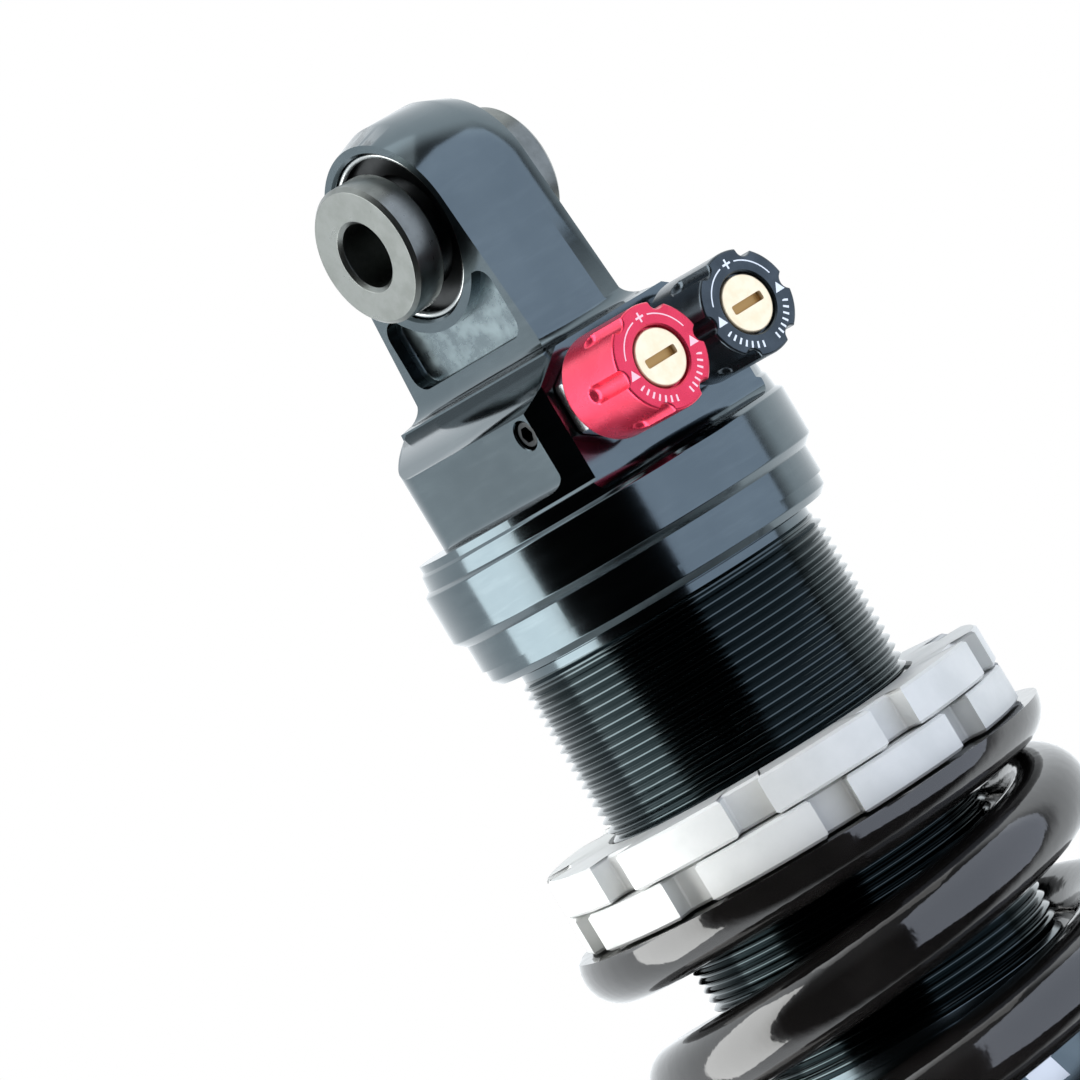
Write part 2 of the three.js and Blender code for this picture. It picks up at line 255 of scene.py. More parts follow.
# Hard-anodised aluminium; grain is "turned" for rings round the axis or "milled" for lines along it
def anodisedPaint(look, grain):
    def paint(tree):
        spot, x, y, z = place(tree)
        cloud = noise(tree, spot, 0.055, 4.0, 0.6)
        fine = noise(tree, spot, look["blastScale"], 2.0, 0.5, seed=3.0)
        smear = noise(tree, spot, 0.35, 3.0, 0.6, stretch=(0.3, 0.3, 2.2), seed=7.0)
        if grain == "turned":
            lines = noise(tree, spot, 5.0, 2.0, 0.6, stretch=(0.02, 0.02, 1.6), seed=5.0)
        else:
            lines = noise(tree, spot, 4.0, 2.0, 0.6, stretch=(0.9, 0.9, 0.05), seed=5.0)
        mask = (cloud.step(0.35, 0.75) * 0.6 + smear.step(0.45, 0.8) * 0.4).clamped()
        colour = mixColour(tree, mask, look["base"], look["worn"])
        rough = look["roughness"] + (cloud - 0.5) * 0.10 + (smear - 0.5) * 0.08
        height = fine * 0.5 + lines * look["toolLines"]
        if grain == "milled":
            floor = pocketFloor(x, y, z)
            swirl = noise(tree, spot, 0.26, 3.0, 0.6, seed=11.0)
            blotch = swirl.step(0.36, 0.66)
            colour = mixColour(tree, floor * (blotch * 0.7 + 0.15), colour, look["milled"])
            rough = rough + floor * (swirl * 0.20 + 0.06)
            height = height + floor * swirl * 1.5
        return {"Base Color": colour, "Roughness": rough, "Normal": bump(tree, height, 0.06, 0.00008)}
    return paint


silverLook = {
    "base": (0.66, 0.668, 0.658, 1),
    "shade": (0.60, 0.612, 0.602, 1),
    "roughness": 0.46,
}


def silverPaint(look):
    def paint(tree):
        spot, x, y, z = place(tree)
        radius = (x * x + y * y).sqrt()
        rings = add(tree, "ShaderNodeTexNoise", {"noise_dimensions": "1D"},
                    {"W": radius + z * 0.7, "Scale": 3.4, "Detail": 3.0, "Roughness": 0.7})
        cloud = noise(tree, spot, 0.12, 4.0, 0.6)
        grit = noise(tree, spot, 3.5, 2.0, 0.5, seed=2.0)
        colour = mixColour(tree, cloud.step(0.35, 0.7), look["base"], look["shade"])
        rough = look["roughness"] + (cloud - 0.5) * 0.14 + (rings - 0.5) * 0.10
        height = rings * 0.6 + grit * 0.4
        return {"Base Color": colour, "Roughness": rough, "Normal": bump(tree, height, 0.10, 0.00008)}
    return paint


springLook = {
    "base": (0.0044, 0.0040, 0.0038, 1),
    "dusty": (0.010, 0.009, 0.0085, 1),
    "roughness": 0.075,
    "peelScale": 0.42,
}


# Powder coat: gloss over a soft orange peel
def springPaint(tree):
    look = springLook
    spot, x, y, z = place(tree)
    peel = noise(tree, spot, look["peelScale"], 2.0, 0.45)
    broad = noise(tree, spot, 0.09, 3.0, 0.5, seed=4.0)
    specks = noise(tree, spot, 5.0, 1.0, 0.5, seed=9.0).step(0.70, 0.80)
    colour = mixColour(tree, broad.step(0.4, 0.75), look["base"], look["dusty"])
    rough = look["roughness"] + (broad - 0.5) * 0.06 + specks * 0.05
    return {"Base Color": colour, "Roughness": rough, "Normal": bump(tree, peel, 0.20, 0.00022)}


def steelPaint(base, shade, roughness, along="x"):
    stretch = {"x": (1.5, 0.06, 0.06), "z": (0.06, 0.06, 1.5)}[along]

    def paint(tree):
        spot, x, y, z = place(tree)
        lines = noise(tree, spot, 4.0, 3.0, 0.65, stretch=stretch)
        cloud = noise(tree, spot, 0.22, 4.0, 0.62, seed=2.0)
        pits = noise(tree, spot, 1.9, 3.0, 0.6, seed=6.0).step(0.60, 0.74)
        colour = mixColour(tree, (cloud.step(0.38, 0.68) * 0.7 + pits * 0.3).clamped(), base, shade)
        rough = roughness + (cloud - 0.5) * 0.20 + pits * 0.08 + (lines - 0.5) * 0.06
        height = lines * 0.6 + pits * -0.4
        return {"Base Color": colour, "Roughness": rough, "Normal": bump(tree, height, 0.14, 0.00008)}
    return paint


def rubberPaint(base, shade, scale):
    def paint(tree):
        spot, x, y, z = place(tree)
        cell = noise(tree, spot, scale, 4.0, 0.65)
        broad = noise(tree, spot, 0.15, 3.0, 0.5, seed=3.0)
        colour = mixColour(tree, (cell * 0.5 + broad * 0.5).step(0.35, 0.65), base, shade)
        return {"Base Color": colour, "Roughness": 0.72 + (broad - 0.5) * 0.2,
                "Normal": bump(tree, cell, 0.3, 0.0002)}
    return paint


threadLook = {**anodisedLook, "base": (0.058, 0.075, 0.080, 1), "worn": (0.074, 0.092, 0.097, 1)}
blackMilled = material("blackAnodisedMilled", anodisedPaint(anodisedLook, "milled"), Metallic=1.0)
blackTurned = material("blackAnodisedTurned", anodisedPaint(anodisedLook, "turned"), Metallic=1.0)
threadFinish = material("blackAnodisedThread", anodisedPaint(threadLook, "turned"), Metallic=1.0)
silverFinish = material("silverAnodised", silverPaint(silverLook), Metallic=0.2)
springFinish = material("springCoat", springPaint, Metallic=0.0, IOR=1.8)
steelLooks = {
    "spacerSteel": {"base": (0.20, 0.212, 0.204, 1), "shade": (0.13, 0.14, 0.132, 1), "rough": 0.30},
    "machinedSteel": {"base": (0.45, 0.46, 0.47, 1), "shade": (0.34, 0.35, 0.36, 1), "rough": 0.30},
    "polishedSteel": {"base": (0.72, 0.73, 0.75, 1), "shade": (0.60, 0.61, 0.63, 1), "rough": 0.16},
    "bearingSteel": {"base": (0.034, 0.036, 0.037, 1), "shade": (0.020, 0.021, 0.022, 1), "rough": 0.30},
    "circlipSteel": {"base": (0.42, 0.44, 0.44, 1), "shade": (0.30, 0.31, 0.31, 1), "rough": 0.18},
    "hardChrome": {"base": (0.78, 0.79, 0.81, 1), "shade": (0.70, 0.71, 0.74, 1), "rough": 0.08},
}
steelFinish = {}
for name, look in steelLooks.items():
    along = "z" if name == "hardChrome" else "x"
    paint = steelPaint(look["base"], look["shade"], look["rough"], along)
    steelFinish[name] = material(name, paint, Metallic=1.0)
rubberFinish = material("sealRubber", rubberPaint((0.012, 0.012, 0.012, 1), (0.022, 0.022, 0.021, 1), 1.2))
foamFinish = material("bumpFoam", rubberPaint((0.80, 0.60, 0.15, 1), (0.66, 0.47, 0.10, 1), 0.9))
nylonFinish = material("guideNylon", rubberPaint((0.016, 0.017, 0.02, 1), (0.026, 0.027, 0.03, 1), 0.5))
print("materials made")


axisMaps = {
    "z": lambda r, h, a: (r * math.cos(a), r * math.sin(a), h),
    "x": lambda r, h, a: (h, r * math.cos(a), r * math.sin(a)),
    "-x": lambda r, h, a: (-h, -r * math.cos(a), r * math.sin(a)),
    "-y": lambda r, h, a: (r * math.cos(a), -h, r * math.sin(a)),
}


# Corners given as (r, h, radius) become arcs; (r, h) stays sharp
def rounded(points, steps=4):
    path = []
    count = len(points)
    for i, point in enumerate(points):
        here = Vector(point[:2])
        if len(point) < 3:
            path.append(here)
            continue
        before = Vector(points[i - 1][:2]) - here
        after = Vector(points[(i + 1) % count][:2]) - here
        half = before.angle(after) / 2
        back = min(point[2] / math.tan(half), 0.49 * before.length, 0.49 * after.length)
        radius = back * math.tan(half)
        middle = here + (before.normalized() + after.normalized()).normalized() * (radius / math.sin(half))
        start = here + before.normalized() * back - middle
        end = here + after.normalized() * back - middle
        sweep = start.angle_signed(end)
        for k in range(steps + 1):
            path.append(middle + Matrix.Rotation(-sweep * k / steps, 2) @ start)
    return path


def rawMesh(name, points, faces):
    mesh = bpy.data.meshes.new(name)
    mesh.from_pydata([tuple(c * mm for c in p) for p in points], [], faces)
    bm = bmesh.new()
    bm.from_mesh(mesh)
    bmesh.ops.remove_doubles(bm, verts=bm.verts, dist=2e-7)
    bmesh.ops.recalc_face_normals(bm, faces=bm.faces)
    bm.to_mesh(mesh)
    bm.free()
    thing = bpy.data.objects.new(name, mesh)
    bpy.context.scene.collection.objects.link(thing)
    return thing


# Turned shape from a closed outline of (r, h) points; points on the axis make poles
def turn(name, outline, sides=96, axis="z", at=(0, 0, 0), steps=4):
    path = rounded(outline, steps)
    place3 = axisMaps[axis]
    shift = Vector(at)
    points = []
    rings = []
    for p in path:
        if p.x < 1e-6:
            rings.append([len(points)] * sides)
            points.append(Vector(place3(0, p.y, 0)) + shift)
        else:
            rings.append(list(range(len(points), len(points) + sides)))
            points.extend(Vector(place3(p.x, p.y, 2 * math.pi * j / sides)) + shift for j in range(sides))
    faces = []
    for i, ring in enumerate(rings):
        nextRing = rings[(i + 1) % len(rings)]
        for j in range(sides):
            k = (j + 1) % sides
            corner = [ring[j], ring[k], nextRing[k], nextRing[j]]
            face = [c for n, c in enumerate(corner) if c not in corner[:n]]
            if len(face) > 2:
                faces.append(face)
    return rawMesh(name, points, faces)


# Skin through rings of the same number of points, closed at both ends
def loft(name, rings):
    count = len(rings[0])
    points = [p for ring in rings for p in ring]
    faces = [list(range(count))[::-1], [count * (len(rings) - 1) + j for j in range(count)]]
    for i in range(len(rings) - 1):
        for j in range(count):
            k = (j + 1) % count
            faces.append([i * count + j, i * count + k, (i + 1) * count + k, (i + 1) * count + j])
    return rawMesh(name, points, faces)


# Plain mesh of what the modifiers make
def baked(thing):
    bpy.context.view_layer.update()
    graph = bpy.context.evaluated_depsgraph_get()
    mesh = bpy.data.meshes.new_from_object(thing.evaluated_get(graph), preserve_all_data_layers=True,
                                           depsgraph=graph)
    thing.modifiers.clear()
    old = thing.data
    thing.data = mesh
    bpy.data.meshes.remove(old)
    return thing


def combine(thing, others, operation="DIFFERENCE"):
    for other in others:
        step = thing.modifiers.new("cut", "BOOLEAN")
        step.operation = operation
        step.solver = "EXACT"
        step.object = other
        baked(thing)
        bpy.data.objects.remove(other)
    return thing


# Small rounded edges, then normals that keep flat faces flat
def edged(thing, width, segments=2, angle=28):
    step = thing.modifiers.new("edge", "BEVEL")
    step.width = width * mm
    step.segments = segments
    step.limit_method = "ANGLE"
    step.angle_limit = math.radians(angle)
    step.miter_outer = "MITER_ARC"
    step.harden_normals = False
    baked(thing)
    return shaded(thing, angle + 8)


def shaded(thing, angle=30, weighted=True):
    mesh = thing.data
    for polygon in mesh.polygons:
        polygon.use_smooth = True
    mesh.set_sharp_from_angle(angle=math.radians(angle))
    if weighted:
        step = thing.modifiers.new("normals", "WEIGHTED_NORMAL")
        step.keep_sharp = True
        step.weight = 60
        baked(thing)
    return thing


def finished(thing, look, body, nodes=()):
    thing.data.materials.clear()
    thing.data.materials.append(look)
    for polygon in thing.data.polygons:
        polygon.material_index = 0
    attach(thing, body)
    if nodes:
        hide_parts(*nodes)
    return thing


lugShape = {
    "halfThick": 8.5,
    "radius": 16.0,
    "chamferIn": 1.4,
    "chamferAlong": 4.3,
    "footHalf": 18.6,
    "footZ": -24.7,
    "footFillet": 3.0,
    "pocketDepth": 2.9,
    "pocketHalf": 14.6,
    "pocketLow": -21.0,
    "pocketHigh": -9.8,
    "bossRadius": 14.9,
    "boreRadius": 13.0,
    "edge": 0.22,
}


# (y, z) points of the lug's outline, drawn in by a distance, from the foot over the top
def lugOutline(shape, inset, low, arcSteps=56):
    lean = math.atan2(shape["footHalf"] - shape["radius"], -shape["footZ"])
    radius = shape["radius"] - inset
    slope = math.tan(lean)
    side = radius / math.cos(lean)
    foot = [(side + slope * -low, low)]
    arc = []
    for k in range(arcSteps + 1):
        a = lean + (math.pi - 2 * lean) * k / arcSteps
        arc.append((radius * math.cos(a), radius * math.sin(a)))
    return foot + arc + [(-foot[0][0], low)]


def lugSolid(name, shape):
    stations = [(-shape["halfThick"], shape["chamferIn"]),
                (-shape["halfThick"] + shape["chamferAlong"], 0),
                (shape["halfThick"] - shape["chamferAlong"], 0),
                (shape["halfThick"], shape["chamferIn"])]
    rings = [[(x, y, z) for y, z in lugOutline(shape, inset, shape["footZ"] - 3)] for x, inset in stations]
    return loft(name, rings)


# Concave fillet round the lug's foot, as a stack of outlines that widen downwards
def lugFoot(name, shape):
    radius = shape["footFillet"]
    lean = (shape["footHalf"] - shape["radius"]) / -shape["footZ"]
    rings = []
    steps = 8
    for k in range(-1, steps + 1):
        lift = radius * k / steps if k >= 0 else -1.0
        rise = max(lift, 0)
        out = radius - math.sqrt(max(radius ** 2 - (radius - rise) ** 2, 0)) - 0.03
        z = shape["footZ"] + lift
        hy = shape["radius"] + lean * -z + out
        hx = shape["halfThick"] + out
        cx = shape["chamferAlong"]
        cy = shape["chamferIn"]
        rings.append([(-hx, -hy + cy, z), (-hx + cx, -hy, z), (hx - cx, -hy, z), (hx, -hy + cy, z),
                      (hx, hy - cy, z), (hx - cx, hy, z), (-hx + cx, hy, z), (-hx, hy - cy, z)])
    return loft(name, rings)


def roundedRectangle(halfWidth, low, high, radius, steps=6):
    corners = [(halfWidth, low, radius), (halfWidth, high, radius), (-halfWidth, high, radius),
               (-halfWidth, low, radius)]
    return rounded(corners, steps)


# The cutter of a milled pocket: a plan in (y, z), sunk from one face of the lug
def pocketCutter(name, shape, side):
    cornerRadius = 2.6
    floorRadius = 0.5
    clear = 2
    floor = side * (shape["halfThick"] - shape["pocketDepth"])
    stations = [(floor, floorRadius), (floor + side * 0.3 * floorRadius, 0.3 * floorRadius),
                (floor + side * floorRadius, 0), (side * (shape["halfThick"] + clear), 0)]
    rings = []
    for x, inset in stations:
        plan = roundedRectangle(shape["pocketHalf"] - inset, shape["pocketLow"] + inset,
                                shape["pocketHigh"] - inset, cornerRadius - inset)
        rings.append([(x, p.x, p.y) for p in plan])
    block = loft(name, rings)
    r = shape["bossRadius"]
    reach = 12
    boss = turn(name + "Boss", [(0, -reach), (r, -reach), (r, reach), (0, reach)], 96, "x")
    return combine(block, [boss])


def eyeLug(name, shape):
    lug = lugSolid(name, shape)
    if shape["footFillet"] > 0:
        combine(lug, [lugFoot(name + "Foot", shape)], "UNION")
    combine(lug, [pocketCutter("pocket", shape, side) for side in (-1, 1)])
    return lug


headShape = {
    "flatX": 20.0,
    "flatFront": -23.0,
    "flatBack": 19.0,
    "columnRadius": 28.5,
    "backRadius": 8.0,
    "crownHalf": 11.0,
    "shoulder": -30.6,
    "ledgeSide": -42.3,
    "ledgeFront": -46.1,
    "filletSide": 1.9,
    "filletFront": 2.5,
    "capRadius": 28.0,
    "ringRadius": 30.0,
    "ringLow": -54.4,
    "ringHigh": -46.7,
    "cutReach": 45,
    "edge": 0.24,
}


# Bar along x or y whose section is a corner region with a rounded inside corner
def cornerCutter(name, reach, wall, ledge, fillet, along):
    section = rounded([(wall, 10), (wall, ledge, fillet), (wall + reach, ledge), (wall + reach, 10)], 8)
    ends = (-headShape["cutReach"], headShape["cutReach"])
    if along == "x":
        return loft(name, [[(x, p.x, p.y) for p in section] for x in ends])
    return loft(name, [[(p.x, y, p.y) for p in section] for y in ends])


# Stepped cap that closes the body, from its lower rim up to the ledge round the block
def capOutline(shape):
    low = headLow.z
    rim = shape["capRadius"]
    ring = shape["ringRadius"]
    ledge = shape["ledgeSide"]
    return [(0, low), (rim - 1.1, low, 0.2), (rim, low + 1.1, 0.3), (rim, shape["ringLow"] - 1.8, 1.2),
            (ring, shape["ringLow"], 0.4), (ring, shape["ringHigh"], 0.35),
            (ring - 0.85, shape["ringHigh"] + 0.6, 0.2), (ring - 1.05, ledge - 1.6, 0.3),
            (rim - 0.6, ledge, 0.3), (0, ledge)]


def headBlock(shape):
    top = lugShape["footZ"]
    r = shape["columnRadius"]
    side = shape["ledgeSide"]
    fillet = shape["filletSide"]
    column = turn("headBillet", [(0, -60), (r, -60), (r, top), (0, top)], 160)
    cap = turn("cap", capOutline(shape), 160)
    cutters = [
        cornerCutter("sideL", -30, -shape["flatX"], side, fillet, "y"),
        cornerCutter("sideR", 30, shape["flatX"], side, fillet, "y"),
        cornerCutter("front", -30, shape["flatFront"], shape["ledgeFront"], shape["filletFront"], "x"),
        cornerCutter("back", 30, shape["flatBack"], side, fillet, "x"),
    ]
    return column, cap, cutters


# Wedges over the two slopes between the lug's foot and the side flats
def crownCutters(shape):
    made = []
    reach = shape["cutReach"]
    for side in (-1, 1):
        crown = Vector((side * shape["crownHalf"], lugShape["footZ"]))
        flat = Vector((side * shape["flatX"], shape["shoulder"]))
        slope = flat - crown
        a = crown - slope
        b = flat + slope
        away = Vector((side * 6, 20))
        section = [a, b, b + away, a + away]
        made.append(loft("crown", [[(p.x, y, p.y) for p in section] for y in (-reach, reach)]))
    return made


# Outside of a round vertical corner at the back of the block
def backCutters(shape):
    made = []
    r = shape["backRadius"]
    clear = 6
    for side in (-1, 1):
        middle = Vector((side * (shape["flatX"] - r), shape["flatBack"] - r))
        plan = []
        for k in range(15):
            a = math.radians(90 * k / 14)
            plan.append(middle + r * Vector((side * math.cos(a), math.sin(a))))
        wide = side * (shape["flatX"] + clear)
        deep = shape["flatBack"] + clear
        plan += [Vector((middle.x, deep)), Vector((wide, deep)), Vector((wide, middle.y))]
        made.append(loft("backCorner", [[(p.x, p.y, z) for p in plan] for z in (shape["ledgeSide"], -20)]))
    return made


# Outline of the bearing's bore, opened at both faces of the lug
def boreOutline(shape):
    r = shape["boreRadius"]
    half = shape["halfThick"]
    mouth = 1.4
    return [(0, -half - 1), (r + mouth, -half - 1), (r, -half + 0.4), (r, half - 0.4),
            (r + mouth, half + 1), (0, half + 1)]


setScrewShape = {
    "radius": 2.0,
    "low": 14.0,
    "face": 19.6,
    "hole": 2.25,
    "mouth": 2.6,
    "socketRadius": 1.25,
    "socketDepth": 2.0,
}


def makeHead():
    shape = headShape
    column, cap, cutters = headBlock(shape)
    head = combine(column, [cap], "UNION")
    combine(head, cutters + crownCutters(shape) + backCutters(shape))
    combine(head, [eyeLug("upperLug", lugShape)], "UNION")
    hole = setScrewShape["hole"]
    mouth = setScrewShape["mouth"]
    low = setScrewShape["low"] - 0.5
    face = setScrewShape["face"]
    r = 24
    top = -52.7
    bores = [
        turn("bearingBore", boreOutline(lugShape), 128, "x"),
        turn("bodyBore", [(0, headLow.z - 5), (r, headLow.z - 5), (r, top), (0, top)], 96),
        turn("screwBore", [(0, low), (hole, low), (hole, face + 0.2), (mouth, face + 0.7),
                           (mouth, 24), (0, 24)], 40, "-x", (0, setScrewY, knobZ)),
    ]
    valveRadius = 3.6
    for x in (-knobX, knobX):
        outline = [(0, -8), (valveRadius, -8), (valveRadius, 30), (0, 30)]
        bores.append(turn("valveBore", outline, 32, "-y", (x, 0, knobZ)))
    combine(head, bores)
    head.name = "headBillet"
    edged(head, shape["edge"], 2, 26)
    return finished(head, blackMilled, "damper", ["head"])


def hexagon(radius, turnBy=0):
    angles = [math.radians(60 * k + turnBy) for k in range(6)]
    return [(radius * math.cos(a), radius * math.sin(a)) for a in angles]


def makeSetScrew():
    shape = setScrewShape
    r = shape["radius"]
    face = shape["face"]
    outline = [(0, shape["low"]), (r, shape["low"]), (r, face, 0.25), (0, face)]
    screw = turn("setScrew", outline, 40, "-x", (0, setScrewY, knobZ))
    plan = hexagon(shape["socketRadius"])
    ends = (-face - 1.4, -face + shape["socketDepth"])
    socket = loft("socket", [[(x, setScrewY + y, knobZ + z) for y, z in plan] for x in ends])
    combine(screw, [socket])
    edged(screw, 0.06, 1)
    return finished(screw, steelFinish["bearingSteel"], "damper", ["set_screw"])


bearingShape = {
    "raceOuter": 12.9,
    "raceHalf": 6.0,
    "raceSphere": 10.7,
    "ballSphere": 10.4,
    "ballHalf": 7.2,
    "ballBore": 6.5,
    "ringIn": 12.15,
    "ringOut": 12.95,
    "ringLow": 6.85,
    "ringWide": 0.95,
    "boltRadius": 5.0,
    "stemRadius": 6.2,
    "neckRadius": 7.2,
    "neckTop": 9.2,
    "rimRadius": 10.7,
    "face": 15.0,
}


# Points of a sphere's section between two distances along the axis
def sphereArc(radius, start, end, steps):
    heights = [start + (end - start) * k / steps for k in range(steps + 1)]
    return [(math.sqrt(radius ** 2 - h * h), h) for h in heights]


def spacerOutline(shape):
    bolt = shape["boltRadius"]
    stem = shape["stemRadius"]
    neck = shape["neckRadius"]
    rim = shape["rimRadius"]
    top = shape["neckTop"]
    face = shape["face"]
    foot = shape["ballHalf"] + 0.3
    return [(bolt, 0.3), (stem, 0.3, 0.2), (stem, foot, 0.1), (neck, foot, 0.3), (neck, top, 0.5),
            (rim - 0.55, top, 0.3), (rim, top + 0.6, 0.2), (rim, face - 0.65, 0.12),
            (rim - 0.6, face, 0.12), (bolt + 0.6, face, 0.1), (bolt, face - 0.6, 0.1)]


def makeBearing(end, z, rootBody, ballBody, sleeveBody):
    shape = bearingShape
    at = (0, 0, z)
    half = shape["raceHalf"]
    outer = shape["raceOuter"]
    dark = steelFinish["bearingSteel"]
    arc = sphereArc(shape["raceSphere"], half, -half, 16)
    race = turn(end + "Race", [(outer, -half, 0.2), (outer, half, 0.2)] + arc, 96, "x", at)
    finished(shaded(race), dark, rootBody, [end + "_bearing_race"])
    half = shape["ballHalf"]
    bore = shape["ballBore"]
    arc = sphereArc(shape["ballSphere"], -half, half, 20)
    ball = turn(end + "Ball", [(bore, -half)] + arc + [(bore, half)], 96, "x", at)
    finished(shaded(ball), dark, ballBody, [end + "_bearing_ball"])
    low = shape["ringLow"]
    high = low + shape["ringWide"]
    ringOutline = [(shape["ringIn"], low, 0.4), (shape["ringOut"], low, 0.3),
                   (shape["ringOut"], high, 0.3), (shape["ringIn"], high, 0.4)]
    for hand, axis in (("left", "-x"), ("right", "x")):
        snap = turn(f"{end}SnapRing{hand.title()}", ringOutline, 96, axis, at)
        finished(shaded(snap), steelFinish["circlipSteel"], rootBody, [f"{end}_snap_ring_{hand}"])
        spacer = turn(f"{end}Spacer{hand.title()}", spacerOutline(shape), 96, axis, at)
        finished(shaded(spacer), steelFinish["spacerSteel"], sleeveBody, [f"{end}_spacer_{hand}"])


knobShape = {
    "radius": 8.0,
    "sides": 288,
    "fluteRadius": 1.45,
    "fluteCentre": 8.45,
    "fluteLength": 8.6,
    "fluteSpan": 0.6,
    "flutes": 6,
    "seatRadius": 5.15,
    "boreRadius": 4.65,
    "boreDepth": 1.7,
    "holeRadius": 3.5,
    "backEdge": 0.5,
    "frontEdge": 0.55,
    "soften": 0.16,
}


# Radius of the fluted skin at an angle and a distance from the front face
def fluteRadius(shape, angle, depth):
    radius = shape["radius"]
    spacing = 2 * math.pi / shape["flutes"]
    off = (angle + spacing / 2) % spacing - spacing / 2
    beyond = max(depth - shape["fluteLength"] + shape["fluteRadius"], 0)
    cut = shape["fluteRadius"] ** 2 - beyond ** 2
    side = shape["fluteCentre"] * math.sin(off)
    if cut <= 0 or abs(off) > shape["fluteSpan"]:
        return radius
    inner = cut - side ** 2
    if inner <= 0:
        return radius
    groove = shape["fluteCentre"] * math.cos(off) - math.sqrt(inner)
    k = shape["soften"]
    h = max(k - abs(radius - groove), 0) / k
    return min(radius, groove) - h * h * k * 0.25


def makeKnob(name, x, look, body, node):
    shape = knobShape
    sides = shape["sides"]
    radius = shape["radius"]
    back = shape["backEdge"]
    front = shape["frontEdge"]
    seat = shape["seatRadius"]
    bore = shape["boreRadius"]
    bottom = knobFace - shape["boreDepth"]
    points = []
    rows = []

    def row(height, radiusAt):
        rows.append(len(points))
        for j in range(sides):
            a = 2 * math.pi * j / sides
            r = radiusAt(a)
            points.append((x + r * math.cos(a), -height, knobZ + r * math.sin(a)))

    row(knobBase, lambda a: shape["holeRadius"])
    row(knobBase, lambda a: radius - back - 0.4)
    for k in range(5):
        b = math.pi / 2 * k / 4
        row(knobBase + back - back * math.cos(b), lambda a: radius - back + back * math.sin(b))
    sideRows = 56
    for k in range(1, sideRows + 1):
        depth = (knobFace - knobBase - back - front) * (1 - k / sideRows) + front
        row(knobFace - depth, lambda a: fluteRadius(shape, a, depth))
    for k in range(1, 7):
        b = math.pi / 2 * k / 6
        row(knobFace - front + front * math.sin(b),
            lambda a: fluteRadius(shape, a, 0) - front + front * math.cos(b))
    for share in (0.85, 0.4, 0.0):
        row(knobFace, lambda a: seat + (fluteRadius(shape, a, 0) - front - seat) * share)
    row(knobFace - 0.06, lambda a: seat - 0.3)
    row(knobFace - 0.3, lambda a: bore)
    row(bottom, lambda a: bore)
    row(bottom - 0.2, lambda a: shape["holeRadius"])
    faces = []
    for i, below in enumerate(rows):
        above = rows[(i + 1) % len(rows)]
        for j in range(sides):
            k = (j + 1) % sides
            faces.append([below + j, below + k, above + k, above + j])
    knob = rawMesh(name, points, faces)
    shaded(knob, 38)
    return finished(knob, look, body, [node])


adjusterShape = {
    "stemRadius": 3.0,
    "headRadius": 4.3,
    "headLow": 2.7,
    "headTop": 0.25,
    "slotHalf": 2.95,
    "slotWide": 0.68,
    "slotDepth": 1.1,
    "stemFoot": 31.0,
    "nutFlat": 7.35,
    "nutRound": 7.4,
    "nutLow": 23.3,
    "nutBore": 3.4,
}


def makeAdjusterScrew(name, x, body, node):
    shape = adjusterShape
    top = knobFace - shape["headTop"]
    low = knobFace - shape["headLow"]
    foot = shape["stemFoot"]
    stem = shape["stemRadius"]
    head = shape["headRadius"]
    outline = [(0, foot), (stem, foot), (stem, low), (head, low), (head, top, 0.3), (0, top)]
    screw = turn(name, outline, 96, "-y", (x, 0, knobZ))
    plan = roundedRectangle(shape["slotHalf"], -shape["slotWide"], shape["slotWide"], 0.3, 3)
    ends = (top - shape["slotDepth"], top + 1)
    cutter = loft("slot", [[(x + p.x, -h, knobZ + p.y) for p in plan] for h in ends])
    combine(screw, [cutter])
    edged(screw, 0.08, 2)
    return finished(screw, brassFinish, body, [node])


# Hexagon nut under a knob, with its corners turned off at both ends
def makeLockNut(name, x, node):
    shape = adjusterShape
    low = shape["nutLow"]
    high = knobBase - 0.3
    at = (x, 0, knobZ)
    plan = hexagon(shape["nutFlat"], 30)
    nut = loft(name, [[(x + u, -h, knobZ + v) for u, v in plan] for h in (low, high)])
    r = shape["nutRound"]
    chamfer = turn("chamfer", [(0, low - 1), (r - 0.4, low - 1), (r - 0.3, low), (r, low + 0.6),
                               (r, high - 0.6), (r - 0.5, high), (0, high + 0.3)], 96, "-y", at)
    combine(nut, [chamfer], "INTERSECT")
    bore = shape["nutBore"]
    combine(nut, [turn("bore", [(0, 20), (bore, 20), (bore, 30), (0, 30)], 48, "-y", at)])
    edged(nut, 0.12, 2)
    return finished(nut, steelFinish["polishedSteel"], "damper", [node])


knobMarks = {
    "ticks": 40,
    "tickShare": 0.16,
    "tickIn": 5.75,
    "tickOut": 6.75,
    "tickTop": -2.2,
    "tickGap": 1.1,
    "arrowAcross": 5.95,
    "arrowFoot": -0.9,
    "arrowHalf": 0.85,
    "arrowTaper": 0.62,
    "arrowTall": 1.4,
    "lineRadius": 6.2,
    "lineHalf": 0.10,
    "lineFoot": 2.0,
    "lineGap": 1.4,
    "plusHalf": 0.75,
    "strokeHalf": 0.16,
}


